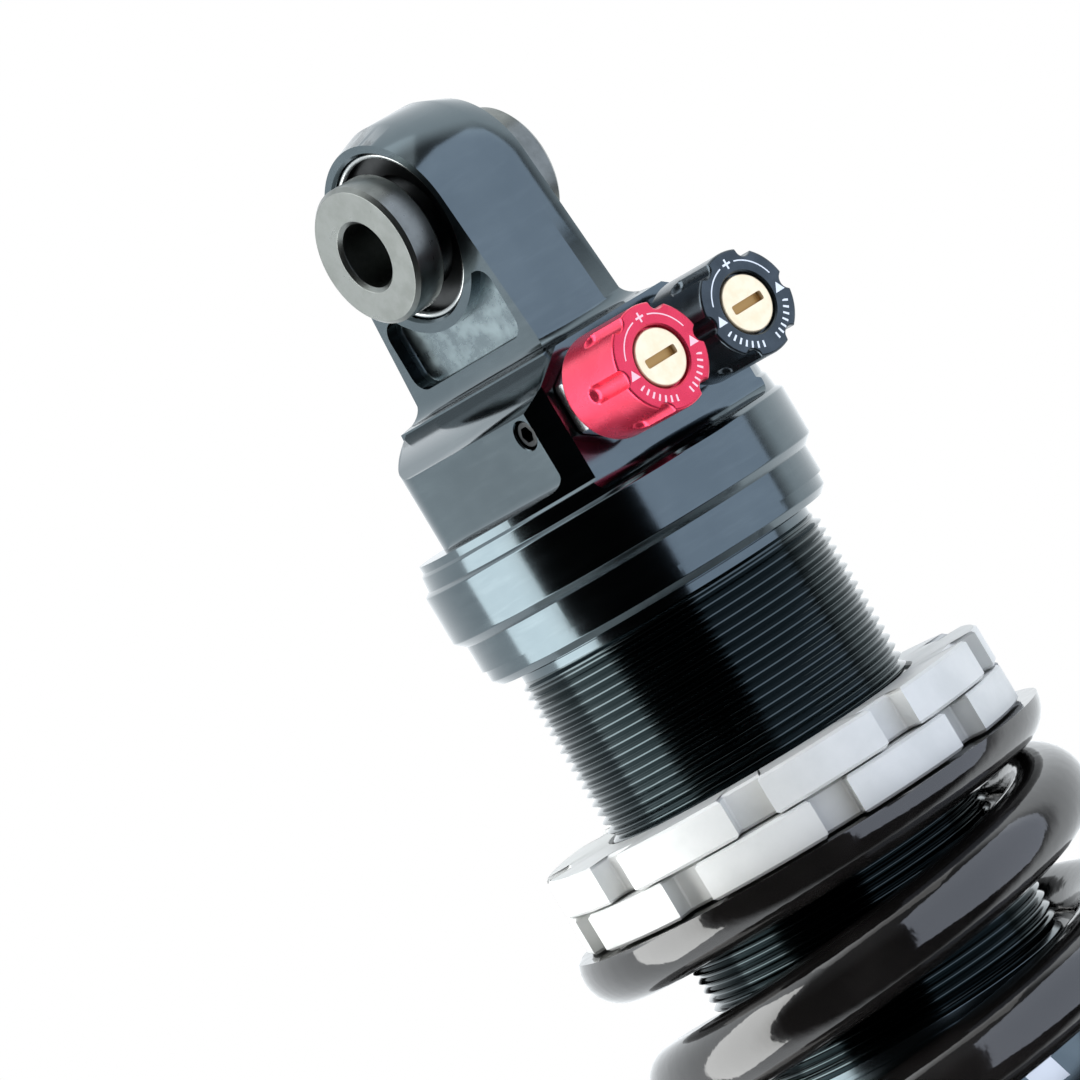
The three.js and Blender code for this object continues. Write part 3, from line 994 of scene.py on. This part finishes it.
# Marks on a knob's face, by distance and angle about its axis: ticks below, an arrow head at each
# hand, and above them a line that a plus sign breaks
def faceMarks(u, v, w):
    sizes = knobMarks
    radius = (u * u + w * w).sqrt()
    onFace = (v < (0.35 - knobFace)) * (radius > 5.0)
    turnShare = w.maths("ARCTAN2", u) * (sizes["ticks"] / (2 * math.pi))
    onTick = (turnShare - turnShare.floor() - 0.5).abs() < sizes["tickShare"]
    inRing = (radius > sizes["tickIn"]) * (radius < sizes["tickOut"])
    clear = 1 - (u.abs() < sizes["tickGap"])
    marks = onTick * inRing * (w < sizes["tickTop"]) * clear
    for side in (-1, 1):
        across = (u - side * sizes["arrowAcross"]).abs()
        rise = w - sizes["arrowFoot"]
        inside = across < (sizes["arrowHalf"] - rise * sizes["arrowTaper"])
        marks = marks + inside * (rise > -0.05) * (rise < sizes["arrowTall"])
    along = u.abs()
    up = (w - sizes["lineRadius"]).abs()
    stroke = sizes["strokeHalf"]
    arm = sizes["plusHalf"]
    plus = (along < stroke) * (up < arm) + (up < stroke) * (along < arm)
    onLine = (radius - sizes["lineRadius"]).abs() < sizes["lineHalf"]
    line = onLine * (w > sizes["lineFoot"]) * (along > sizes["lineGap"])
    return ((marks + plus + line) * onFace).clamped()


def knobPaint(x, look):
    def paint(tree):
        spot, u, v, w = place(tree, (x, 0, knobZ))
        cloud = noise(tree, spot, 0.25, 3.0, 0.6)
        lines = noise(tree, spot, 3.0, 2.0, 0.6, stretch=(0.5, 3.0, 0.5), seed=4.0)
        marks = faceMarks(u, v, w)
        metal = mixColour(tree, cloud.step(0.35, 0.7), look["base"], look["shade"])
        colour = mixColour(tree, marks, metal, look["ink"])
        rough = look["roughness"] + (cloud - 0.5) * 0.12 + marks * 0.2
        height = lines * 0.6 - marks * 1.5
        return {"Base Color": colour, "Roughness": rough, "Normal": bump(tree, height, 0.12, 0.00012)}
    return paint


redLook = {
    "base": (0.74, 0.046, 0.100, 1),
    "shade": (0.66, 0.036, 0.082, 1),
    "ink": (0.95, 0.62, 0.66, 1),
    "roughness": 0.27,
}
slateLook = {
    "base": (0.046, 0.058, 0.068, 1),
    "shade": (0.066, 0.082, 0.096, 1),
    "ink": (0.80, 0.83, 0.85, 1),
    "roughness": 0.22,
}
redFinish = material("redAnodised", knobPaint(-knobX, redLook), Metallic=0.75)
slateFinish = material("slateAnodised", knobPaint(knobX, slateLook), Metallic=0.9)

brassLook = {
    "base": (0.97, 0.84, 0.62, 1),
    "shade": (0.93, 0.77, 0.53, 1),
    # slot: painted shade for the bottom of the driver slot
    "slot": (0.42, 0.25, 0.09, 1),
    "roughness": 0.34,
}


# Turned brass, with painted shade that turns it darker brown down in the driver slot
def brassPaint(tree):
    look = brassLook
    spot, x, y, z = place(tree)
    rings = noise(tree, spot, 2.4, 3.0, 0.6, stretch=(1.0, 0.2, 1.0))
    cloud = noise(tree, spot, 0.5, 3.0, 0.6, seed=2.0)
    # How far down the driver slot, which sets how much painted shade the brass gets
    depth = (y + (knobFace - adjusterShape["headTop"])) / adjusterShape["slotDepth"]
    metal = mixColour(tree, cloud.step(0.35, 0.7), look["base"], look["shade"])
    colour = mixColour(tree, depth.step(0.12, 0.85), metal, look["slot"])
    rough = look["roughness"] + (cloud - 0.5) * 0.12
    return {"Base Color": colour, "Roughness": rough, "Normal": bump(tree, rings, 0.12, 0.00008)}


brassFinish = material("turnedBrass", brassPaint, Metallic=0.7)


threadShape = {
    "radius": 24.9,
    "depth": 0.92,
    "pitch": 1.5,
    "top": headLow.z - 1.6,
    "bottom": -133.6,
    "sides": 128,
    "perPitch": 8,
    "flankGain": 1.35,
    "flankStart": 0.22,
    "runOut": 0.8,
}


# Geometry Nodes: a grid whose rows follow the helix, bent round the axis
def threadTree():
    tree = bpy.data.node_groups.new("helicalThread", "GeometryNodeTree")
    names = {}
    kinds = {"Float": ("Radius", "Depth", "Pitch", "Top", "Bottom"), "Int": ("Sides", "Rows", "Row Steps"),
             "Material": ("Material",)}
    for kind, labels in kinds.items():
        for label in labels:
            made = tree.interface.new_socket(label, in_out="INPUT", socket_type="NodeSocket" + kind)
            names[label] = made.identifier
    tree.interface.new_socket("Geometry", in_out="OUTPUT", socket_type="NodeSocketGeometry")
    source = tree.nodes.new("NodeGroupInput")
    inputs = {o.name: Wire(tree, o) for o in source.outputs if o.name}
    sides = inputs["Sides"]
    steps = inputs["Row Steps"]
    grid = add(tree, "GeometryNodeMeshGrid", None,
               {"Vertices X": inputs["Rows"], "Vertices Y": sides + 1.0})
    index = add(tree, "GeometryNodeInputIndex")
    rowNumber = (index / (sides + 1.0) + 1e-5).floor()
    column = index - rowNumber * (sides + 1.0)
    share = column / sides
    angle = share * (2 * math.pi)
    low = inputs["Bottom"]
    high = inputs["Top"]
    phase = rowNumber / steps
    height = high + inputs["Pitch"] - (phase - share) * inputs["Pitch"]
    clamped = height.maths("MINIMUM", high).maths("MAXIMUM", low)
    wave = ((phase - (phase + 1e-4).floor()) - 0.5).abs() * 2.0
    flank = (wave * threadShape["flankGain"] - threadShape["flankStart"]).clamped()
    fade = inputs["Pitch"] * threadShape["runOut"]
    runOut = ((high - clamped) / fade).clamped() * ((clamped - low) / fade).clamped()
    radius = inputs["Radius"] - inputs["Depth"] * (1 - flank * runOut)
    sockets = {0: radius * angle.cos(), 1: radius * angle.sin(), 2: clamped}
    position = add(tree, "ShaderNodeCombineXYZ", None, sockets)
    moved = add(tree, "GeometryNodeSetPosition", None, {"Geometry": grid, "Position": position})
    welded = add(tree, "GeometryNodeMergeByDistance", None, {"Geometry": moved, "Distance": 2e-6})
    real = add(tree, "GeometryNodeRealizeInstances", None, {"Geometry": welded})
    done = add(tree, "GeometryNodeSetMaterial", None, {"Geometry": real, "Material": inputs["Material"]})
    add(tree, "NodeGroupOutput", None, {0: done})
    return tree, names


def makeThread(look):
    shape = threadShape
    tree, names = threadTree()
    carrier = bpy.data.objects.new("bodyThread", bpy.data.meshes.new("bodyThread"))
    bpy.context.scene.collection.objects.link(carrier)
    step = carrier.modifiers.new("thread", "NODES")
    step.node_group = tree
    turns = (shape["top"] - shape["bottom"]) / shape["pitch"]
    rows = int((turns + 3) * shape["perPitch"])
    values = {"Radius": shape["radius"] * mm, "Depth": shape["depth"] * mm, "Pitch": shape["pitch"] * mm,
              "Top": shape["top"] * mm, "Bottom": shape["bottom"] * mm, "Sides": shape["sides"],
              "Rows": rows, "Row Steps": shape["perPitch"], "Material": look}
    for label, value in values.items():
        step[names[label]] = value
    return baked(carrier)


labelShape = {
    "low": -172.0,
    "high": -139.0,
    "facing": -128.0,
    "halfWidth": 17.5,
    "slant": 0.35,
    "barPitch": 9.0,
    "barWidth": 5.2,
    "barDrop": 8.0,
    "barHalf": 4.2,
    "tickPitch": 2.0,
    "tickWidth": 0.5,
    "tickDrop": 16.5,
    "tickHalf": 1.6,
    "ruleDrop": 20.5,
    "ruleHalf": 0.35,
    "ink": (0.72, 0.74, 0.76, 1),
}
bodyShape = {
    "bore": 22.0,
    "outer": 24.8,
    "groove": 24.3,
    "threadBore": 22.2,
    "neckBore": 22.1,
    "neckOuter": 23.6,
    "sealGroove": 22.7,
    "neckTop": -53.0,
}


# Smooth lower wall with a plain printed scale: bars and short ticks, no letters
def bodyPaint(tree):
    label = labelShape
    spot, x, y, z = place(tree)
    cloud = noise(tree, spot, 0.06, 4.0, 0.6)
    lines = noise(tree, spot, 5.0, 2.0, 0.6, stretch=(0.02, 0.02, 1.6), seed=5.0)
    across = (y.maths("ARCTAN2", x) - math.radians(label["facing"])) * bodyShape["outer"]
    inBand = (z > label["low"]) * (z < label["high"]) * (across.abs() < label["halfWidth"])
    slanted = across + (z - label["low"]) * label["slant"]
    onBar = (slanted % label["barPitch"]) < label["barWidth"]
    bars = onBar * ((z - (label["high"] - label["barDrop"])).abs() < label["barHalf"])
    onTick = (across % label["tickPitch"]) < label["tickWidth"]
    ticks = onTick * ((z - (label["high"] - label["tickDrop"])).abs() < label["tickHalf"])
    rule = (z - (label["high"] - label["ruleDrop"])).abs() < label["ruleHalf"]
    marks = ((bars + ticks + rule) * inBand).clamped()
    metal = mixColour(tree, cloud.step(0.35, 0.75), anodisedLook["base"], anodisedLook["worn"])
    colour = mixColour(tree, marks, metal, label["ink"])
    rough = 0.20 + (cloud - 0.5) * 0.1 + marks * 0.2
    return {"Base Color": colour, "Roughness": rough, "Normal": bump(tree, lines, 0.06, 0.00006)}


labelFinish = material("bodyWithScale", bodyPaint, Metallic=1.0)


# Gives the open thread skin a thickness: both rims are drawn in to the bore and joined
def closeThread(mesh, bore):
    bm = bmesh.new()
    bm.from_mesh(mesh)
    middle = (threadShape["top"] + threadShape["bottom"]) / 2 * mm
    edges = [e for e in bm.edges if e.is_boundary]
    upper = [e for e in edges if e.verts[0].co.z > middle]
    lower = [e for e in edges if e.verts[0].co.z < middle]
    rims = []
    for loop in (upper, lower):
        grown = bmesh.ops.extrude_edge_only(bm, edges=loop)["geom"]
        fresh = [g for g in grown if isinstance(g, bmesh.types.BMVert)]
        for v in fresh:
            v.co.xy = v.co.xy.normalized() * bore * mm
        rims += [g for g in grown if isinstance(g, bmesh.types.BMEdge) and set(g.verts) <= set(fresh)]
    bmesh.ops.bridge_loops(bm, edges=rims)
    bmesh.ops.recalc_face_normals(bm, faces=bm.faces)
    bm.to_mesh(mesh)
    bm.free()


def makeBody():
    shape = bodyShape
    thread = makeThread(threadFinish)
    closeThread(thread.data, shape["threadBore"])
    shaded(thread, 60, False)
    finished(thread, threadFinish, "damper", [])

    top = threadShape["top"] + 0.02
    root = threadShape["radius"] - threadShape["depth"]
    shoulder = headLow.z - 0.3
    bore = shape["neckBore"]
    outer = shape["neckOuter"]
    groove = shape["sealGroove"]
    high = shape["neckTop"]
    neck = turn("bodyNeck", [
        (bore, top), (root, top), (root, shoulder, 0.1), (outer, shoulder), (outer, high - 5.5),
        (groove, high - 5.5), (groove, high - 3.9), (outer, high - 3.9), (outer, high), (bore, high)], 128)
    finished(shaded(neck), blackTurned, "damper", [])

    low = bodyLow.z
    bore = shape["bore"]
    outer = shape["outer"]
    groove = shape["groove"]
    wall = turn("bodyWall", [
        (bore, low), (outer - 0.4, low, 0.2), (outer, low + 0.6, 0.3), (outer, -137.6, 0.1),
        (groove, -137.5), (groove, -137.0), (outer, -136.9), (outer, -136.0), (groove, -135.9),
        (groove, -135.3), (outer, -135.2), (outer, -134.3, 0.2), (24.0, -133.65), (bore, -133.65)], 160)
    finished(shaded(wall), labelFinish, "damper", ["damper_body"])


collarShape = {
    "outer": 36.3,
    "inner": 25.2,
    "slots": 9,
    "slotWidth": 6.2,
    "slotDepth": 3.9,
    "slotFillet": 0.45,
    "chamfer": 0.42,
    "arcSteps": 9,
}


# Plan of a slotted collar, as points round its rim
def collarPlan(shape, first):
    plan = []
    outer = shape["outer"]
    floor = outer - shape["slotDepth"]
    half = shape["slotWidth"] / 2
    pitch = 2 * math.pi / shape["slots"]
    mouth = math.asin(half / outer)
    fillet = shape["slotFillet"]
    side = [(outer * math.cos(mouth), -half), (floor + fillet, -half)]
    for k in range(1, 4):
        b = math.pi / 2 * k / 3
        side.append((floor + fillet - fillet * math.sin(b), -half + fillet - fillet * math.cos(b)))
    slot = side + [(floor, 0.0)] + [(u, -v) for u, v in reversed(side)]
    for i in range(shape["slots"]):
        middle = first + i * pitch
        turned = Matrix.Rotation(middle, 2)
        plan += [turned @ Vector(p) for p in slot]
        start = middle + mouth
        end = middle + pitch - mouth
        for k in range(1, shape["arcSteps"]):
            a = start + (end - start) * k / shape["arcSteps"]
            plan.append(Vector((outer * math.cos(a), outer * math.sin(a))))
    return plan


# Closed plan moved inwards by a distance, corner by corner
def shrunk(plan, distance):
    out = []
    count = len(plan)
    for i, p in enumerate(plan):
        a = (p - plan[i - 1]).normalized()
        b = (plan[(i + 1) % count] - p).normalized()
        na = Vector((-a.y, a.x))
        nb = Vector((-b.y, b.x))
        mitre = na + nb
        mitre = mitre / max(mitre.length_squared, 0.3) * 2
        out.append(p + mitre * distance)
    return out


def makeCollar(name, low, high, first, body, node):
    shape = collarShape
    plan = collarPlan(shape, first)
    c = shape["chamfer"]
    eased = 0.18 * c  # the chamfer starts a little off the rim, so that its edge is soft
    inset = shrunk(plan, c)
    nearly = shrunk(plan, eased)

    def bore(grown):
        return [p.normalized() * (shape["inner"] + grown) for p in plan]

    layers = [(bore(0), low + c), (bore(c), low), (inset, low), (nearly, low + c - eased), (plan, low + c),
              (plan, high - c), (nearly, high - c + eased), (inset, high), (bore(c), high),
              (bore(0), high - c)]
    points = []
    for ring, z in layers:
        points += [(p.x, p.y, z) for p in ring]
    count = len(plan)
    faces = []
    for i in range(len(layers)):
        k = (i + 1) % len(layers)
        for j in range(count):
            n = (j + 1) % count
            faces.append([i * count + j, i * count + n, k * count + n, k * count + j])
    collar = rawMesh(name, points, faces)
    shaded(collar, 28)
    return finished(collar, silverFinish, body, [node])


springShape = {
    "meanRadius": 33.0,
    "wireRadius": 6.0,
    "pitch": 20.0,
    "endRise": 3.4,
    "endTurns": 0.5,
    "groundOff": 0.3,
    "start": -38.0,
    "stepsPerTurn": 72,
    "wireSides": 28,
}


def makeSpring():
    shape = springShape
    top = springHigh.z
    bottom = springLow.z
    off = shape["groundOff"]
    drop = top - bottom + 2 * off
    rise = shape["endRise"]
    close = shape["endTurns"]
    pitch = shape["pitch"]
    turns = 2 * close + (drop - 2 * rise) / pitch

    # How far down the wire has come after s turns; the ends are closed up and ground flat
    def fallen(s):
        if s < 0:
            return 0.0
        if s < close:
            return rise * (s / close) ** 2
        if s > turns - close:
            return drop - fallen(turns - s)
        return rise + (s - close) * pitch

    over = 0.06
    total = int((turns + 2 * over) * shape["stepsPerTurn"])
    wire = shape["wireRadius"]
    rings = []
    for i in range(total + 1):
        s = -over + (turns + 2 * over) * i / total
        a = math.radians(shape["start"]) - 2 * math.pi * s
        out = Vector((math.cos(a), math.sin(a), 0))
        centre = out * shape["meanRadius"] + Vector((0, 0, top + off - fallen(s)))
        ring = []
        for k in range(shape["wireSides"]):
            b = 2 * math.pi * k / shape["wireSides"]
            p = centre + out * (wire * math.cos(b))
            ring.append((p.x, p.y, min(max(p.z + wire * math.sin(b), bottom), top)))
        rings.append(ring)
    spring = loft("coilSpringWire", rings)
    shaded(spring, 32, False)
    finished(spring, springFinish, "damper", ["coil_spring"])
    stroke = next(j for j in frame["joints"] if j["name"] == "damper_stroke")
    travel = stroke["range_m"][1] / mm
    keep = 1 - travel / (top - bottom)
    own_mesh(spring)
    return spring


lowerEndShape = {
    "seatRadius": 40.0,
    "seatFace": -253.0,
    "seatBore": 16.3,
    "pilotRadius": 26.0,
    "clipRadius": 18.6,
    "clipLow": -253.7,
    "clipHigh": -252.5,
    "rodRadius": 8.0,
    "rodFoot": -249.7,
    "rodNeck": -166.0,
    "neckRadius": 20.0,
    "neckLow": -267.5,
    "neckHigh": -259.3,
    "noseHigh": -250.0,
    "edge": 0.22,
}


def makeSeat(shape):
    low, high = mmBox("lower_seat")
    r = shape["seatRadius"]
    face = shape["seatFace"]
    bore = shape["seatBore"]
    pilot = shape["pilotRadius"]
    seat = turn("lowerSeat", [
        (bore, low.z, 0.3), (r - 1.5, low.z, 0.4), (r, low.z + 1.5, 0.5), (r, face - 1, 0.3),
        (r - 0.8, face, 0.2), (pilot + 0.2, face, 0.5), (pilot, face + 4, 0.3), (pilot - 1, high.z, 0.3),
        (21, high.z, 0.4), (20.6, face - 1, 0.8), (bore, face - 1, 0.2)], 160)
    finished(shaded(seat), blackTurned, "rod", ["lower_seat"])

    low = shape["clipLow"]
    high = shape["clipHigh"]
    r = shape["clipRadius"]
    clip = turn("seatClip", [(bore, low, 0.2), (r, low, 0.4), (r, high, 0.4), (bore, high, 0.2)], 96)
    finished(shaded(clip), steelFinish["polishedSteel"], "rod", ["seat_clip"])


# Foam stop with one waist, on the rod above the seat
def makeBumpStop():
    low, high = mmBox("bump_stop")
    base = low.z
    bore = 8.3
    stop = turn("bumpStop", [
        (bore, base), (14, base, 0.8), (15.2, base + 3, 1.5), (15.2, base + 6.6, 1.6),
        (11.8, base + 9.6, 1.8), (15, base + 12.6, 1.6), (14.6, base + 17, 1.8), (11, high.z, 1.2),
        (bore, high.z, 0.4)], 96, steps=6)
    finished(shaded(stop), foamFinish, "rod", ["bump_stop"])


def makeRod(shape):
    low, high = mmBox("shaft")
    r = shape["rodRadius"]
    foot = shape["rodFoot"]
    neck = shape["rodNeck"]
    rod = turn("damperShaft", [
        (0, low.z), (6, low.z, 0.4), (6, foot), (r, foot, 0.3), (r, neck, 0.5), (5, neck),
        (5, high.z, 0.5), (0, high.z)], 96)
    finished(shaded(rod), steelFinish["hardChrome"], "rod", ["shaft"])


def makeSpringGuide():
    low, high = mmBox("spring_guide_ring")
    inner = 25.3
    outer = 26.1
    guide = turn("springGuide", [(inner, low.z, 0.2), (outer, low.z, 0.2), (outer, high.z, 0.2),
                                 (inner, high.z, 0.2)], 128)
    finished(shaded(guide), nylonFinish, "spring_guide", ["spring_guide_ring"])


# The upper eye's lug turned over, on a round neck that carries the seat and takes the rod
def makeLowerEye(shape):
    eye = eyeLug("lowerEye", {**lugShape, "footHalf": 18.0, "footZ": -33.0, "footFillet": 0})
    eye.data.transform(Matrix.Rotation(math.pi, 4, "X"))
    eye.data.transform(Matrix.Translation((0, 0, eyeDrop * mm)))
    r = shape["neckRadius"]
    low = shape["neckLow"]
    high = shape["neckHigh"]
    nose = shape["noseHigh"]
    neck = turn("neck", [
        (0, eyeDrop + 14), (12, eyeDrop + 14), (16.2, eyeDrop + 26, 1.0), (r - 1, eyeDrop + 30, 1.5),
        (r, low, 1.2), (r, high - 1, 0.4), (r - 1, high, 0.3), (16, high, 0.2), (16, nose, 0.7),
        (0, nose)], 128)
    combine(eye, [neck], "UNION")
    bore = turn("bore", boreOutline(lugShape), 128, "x", (0, 0, eyeDrop))
    rodBore = turn("rodBore", [(0, -285), (6.3, -285), (6.3, -240), (0, -240)], 48)
    combine(eye, [bore, rodBore])
    eye.name = "lowerEyeBillet"
    edged(eye, shape["edge"], 2, 26)
    finished(eye, blackMilled, "rod", ["lower_eye"])


makeHead()
makeSetScrew()
print("head made")
makeBearing("upper", 0, "damper", "upper_ball", "upper_sleeves")
makeBearing("lower", eyeDrop, "rod", "lower_ball", "lower_sleeves")
for kind, x, look, slot in (("rebound", -knobX, redFinish, "red_anodised"),
                            ("compression", knobX, slateFinish, "slate_anodised")):
    makeKnob(kind + "Knob", x, look, kind + "_adjuster", kind + "_knob")
    makeAdjusterScrew(kind + "Screw", x, kind + "_adjuster", kind + "_screw")
    makeLockNut(kind + "LockNut", x, kind + "_lock_nut")
print("bearings and adjusters made")
makeBody()
print("body and thread made")

collars = {
    "lockCollar": {"low": upperCollarLow.z, "high": upperCollarHigh.z, "firstSlot": -134.9,
                   "body": "lock_nut", "node": "lock_collar"},
    "preloadCollar": {"low": lowerCollarLow.z, "high": lowerCollarHigh.z, "firstSlot": -117.7,
                      "body": "preload_nut", "node": "preload_collar"},
}
for name, collar in collars.items():
    makeCollar(name, collar["low"], collar["high"], math.radians(collar["firstSlot"]),
               collar["body"], collar["node"])
makeSpring()
makeSeat(lowerEndShape)
makeBumpStop()
makeRod(lowerEndShape)
makeSpringGuide()
makeLowerEye(lowerEndShape)
print("collars, spring and lower end made")

# Inner pieces keep their CAD shape and get a finish
innerFinishes = {
    silverFinish: ["piston", "floating_piston"],
    blackTurned: ["seal_head"],
    nylonFinish: ["piston_band"],
    steelFinish["polishedSteel"]: ["compression_shims", "rebound_shims"],
    steelFinish["machinedSteel"]: ["piston_nut", "seal_head_ring", "rebound_needle", "compression_needle"],
    rubberFinish: ["body_o_ring", "floating_piston_o_ring", "seal_head_o_ring", "shaft_seal", "shaft_wiper"],
}
for look, nodes in innerFinishes.items():
    for node in nodes:
        inner = frame["nodes"][node]
        inner.data.materials.clear()
        inner.data.materials.append(look)
        for polygon in inner.data.polygons:
            polygon.material_index = 0


viewShape = {
    "turn": -35.63,
    "height": 1.93,
    "roll": -30.97,
    "distance": 969.5,
    "focal": 6702.9 / 1080 * 36,
    "aimAcross": -11.5,
    "aimZ": -47.9,
}


def makeCamera(shape):
    turnBy = math.radians(shape["turn"])
    rise = math.radians(shape["height"])
    back = Vector((math.sin(turnBy) * math.cos(rise), -math.cos(turnBy) * math.cos(rise), math.sin(rise)))
    right = Vector((math.cos(turnBy), math.sin(turnBy), 0))
    up = back.cross(right)
    roll = math.radians(shape["roll"])
    aim = right * shape["aimAcross"] + Vector((0, 0, shape["aimZ"]))
    across = right * math.cos(roll) + up * math.sin(roll)
    upward = up * math.cos(roll) - right * math.sin(roll)
    turned = Matrix((across, upward, back)).transposed().to_4x4()
    data = bpy.data.cameras.new("view")
    data.lens = shape["focal"]
    data.sensor_width = 36
    data.clip_start = 0.02
    data.clip_end = 60
    camera = bpy.data.objects.new("view", data)
    camera.matrix_world = Matrix.Translation((aim + back * shape["distance"]) * mm) @ turned
    bpy.context.scene.collection.objects.link(camera)
    bpy.context.scene.camera = camera


studio = {
    "wall": 1.0,
    "behind": 1.30,
    "backdropTurn": 20,
    "above": 0.12,
    "dim": 0.004,
    "floorGlow": 0.012,
    "floorGap": 2.0,
    "floorRadius": 3000,
    "aimZ": -0.07,
}


def softBox(name, position, aim, width, height, power, tint):
    data = bpy.data.lights.new(name, "AREA")
    data.shape = "RECTANGLE"
    data.size = width
    data.size_y = height
    data.energy = power
    data.color = tint
    lamp = bpy.data.objects.new(name, data)
    lamp.location = position
    lamp.rotation_euler = (Vector(aim) - Vector(position)).to_track_quat("-Z", "Y").to_euler()
    bpy.context.scene.collection.objects.link(lamp)
    return lamp


# Room light: dim towards the side the view comes from, bright at both hands and behind; pale when looked at
def makeWorld():
    world = bpy.data.worlds.new("studio")
    world.use_nodes = True
    tree = world.node_tree
    tree.nodes.clear()
    direction = add(tree, "ShaderNodeTexCoord", out=0)
    dx, dy, dz = add(tree, "ShaderNodeSeparateXYZ", None, {0: direction}).siblings()
    turnBy = math.radians(viewShape["turn"])
    leftwards = math.radians(studio["backdropTurn"])
    toView = dx * math.sin(turnBy) - dy * math.cos(turnBy)
    toRight = dx * math.cos(turnBy) + dy * math.sin(turnBy)
    backdrop = (-toView * math.cos(leftwards) - toRight * math.sin(leftwards)).step(-0.3, 0.1)
    level = backdrop * studio["behind"] + dz.step(0.25, 0.9) * studio["above"] + studio["dim"]
    light = add(tree, "ShaderNodeBackground", None, {"Color": (0.93, 0.97, 1.0, 1), "Strength": level})
    seen = add(tree, "ShaderNodeBackground", None, {"Color": (1, 1, 1, 1), "Strength": studio["wall"]})
    isSeen = add(tree, "ShaderNodeLightPath", out=0)
    both = add(tree, "ShaderNodeMixShader", None, {0: isSeen, 1: light, 2: seen})
    add(tree, "ShaderNodeOutputWorld", None, {0: both})
    bpy.context.scene.world = world


# Round pale floor that glows evenly far out, so that it has no horizon
def makeFloor():
    z = cadBounds[0][2] / mm - studio["floorGap"]
    radius = studio["floorRadius"]
    turns = [2 * math.pi * k / 64 for k in range(64)]
    rim = [(radius * math.cos(a), radius * math.sin(a), z) for a in turns]
    floor = rawMesh("studioFloor", rim, [list(range(len(rim)))])
    made = bpy.data.materials.new("studioFloor")
    made.use_nodes = True
    tree = made.node_tree
    tree.nodes.clear()
    spot, x, y, h = place(tree)
    far = (x * x + y * y).sqrt().step(500, 1100)
    matt = add(tree, "ShaderNodeBsdfDiffuse", None, {"Color": (0.82, 0.82, 0.82, 1)})
    isSeen = add(tree, "ShaderNodeLightPath", out=0)
    strength = mixNumber(isSeen, studio["floorGlow"], 1.0)
    glow = add(tree, "ShaderNodeEmission", None, {"Color": (1, 1, 1, 1), "Strength": strength})
    both = add(tree, "ShaderNodeMixShader", None, {0: far, 1: matt, 2: glow})
    add(tree, "ShaderNodeOutputMaterial", None, {0: both})
    floor.data.materials.append(made)
    floor.visible_glossy = False  # the floor neither shows in the gloss nor cuts off the tall soft boxes
    floor.visible_shadow = False


makeCamera(viewShape)
makeWorld()
makeFloor()

turnBy = math.radians(viewShape["turn"])
toRight = Vector((math.cos(turnBy), math.sin(turnBy), 0))
toView = Vector((math.sin(turnBy), -math.cos(turnBy), 0))
aim = Vector((0, 0, studio["aimZ"]))
lamps = {
    "softLeft": {"bearing": -80, "distance": 0.80, "width": 0.62, "height": 1.8, "lift": 0.06, "glow": 3.7,
                 "tint": (1.0, 1.0, 0.98)},
    "softRight": {"bearing": 56, "distance": 0.85, "width": 1.50, "height": 1.9, "lift": 0.10, "glow": 1.38,
                  "tint": (0.84, 0.92, 1.08)},
    "softTop": {"bearing": 0, "distance": 0.12, "width": 0.9, "height": 0.7, "lift": 1.05, "glow": 0.7,
                "tint": (1.0, 1.0, 1.0)},
    "softFront": {"bearing": -12, "distance": 1.30, "width": 0.8, "height": 0.8, "lift": 0.15, "glow": 2.3,
                  "tint": (1.0, 0.99, 0.97)},
}
for name, lamp in lamps.items():
    swing = math.radians(lamp["bearing"])
    spot = aim + (toRight * math.sin(swing) + toView * math.cos(swing)) * lamp["distance"]
    spot.z += lamp["lift"]
    power = lamp["glow"] * math.pi * lamp["width"] * lamp["height"]
    made = softBox(name, spot, aim, lamp["width"], lamp["height"], power, lamp["tint"])
    made.visible_camera = False
    made.visible_glossy = name != "softFront"  # the front fill only lifts matt surfaces
bpy.context.scene.view_settings.view_transform = "Standard"
print("studio made")
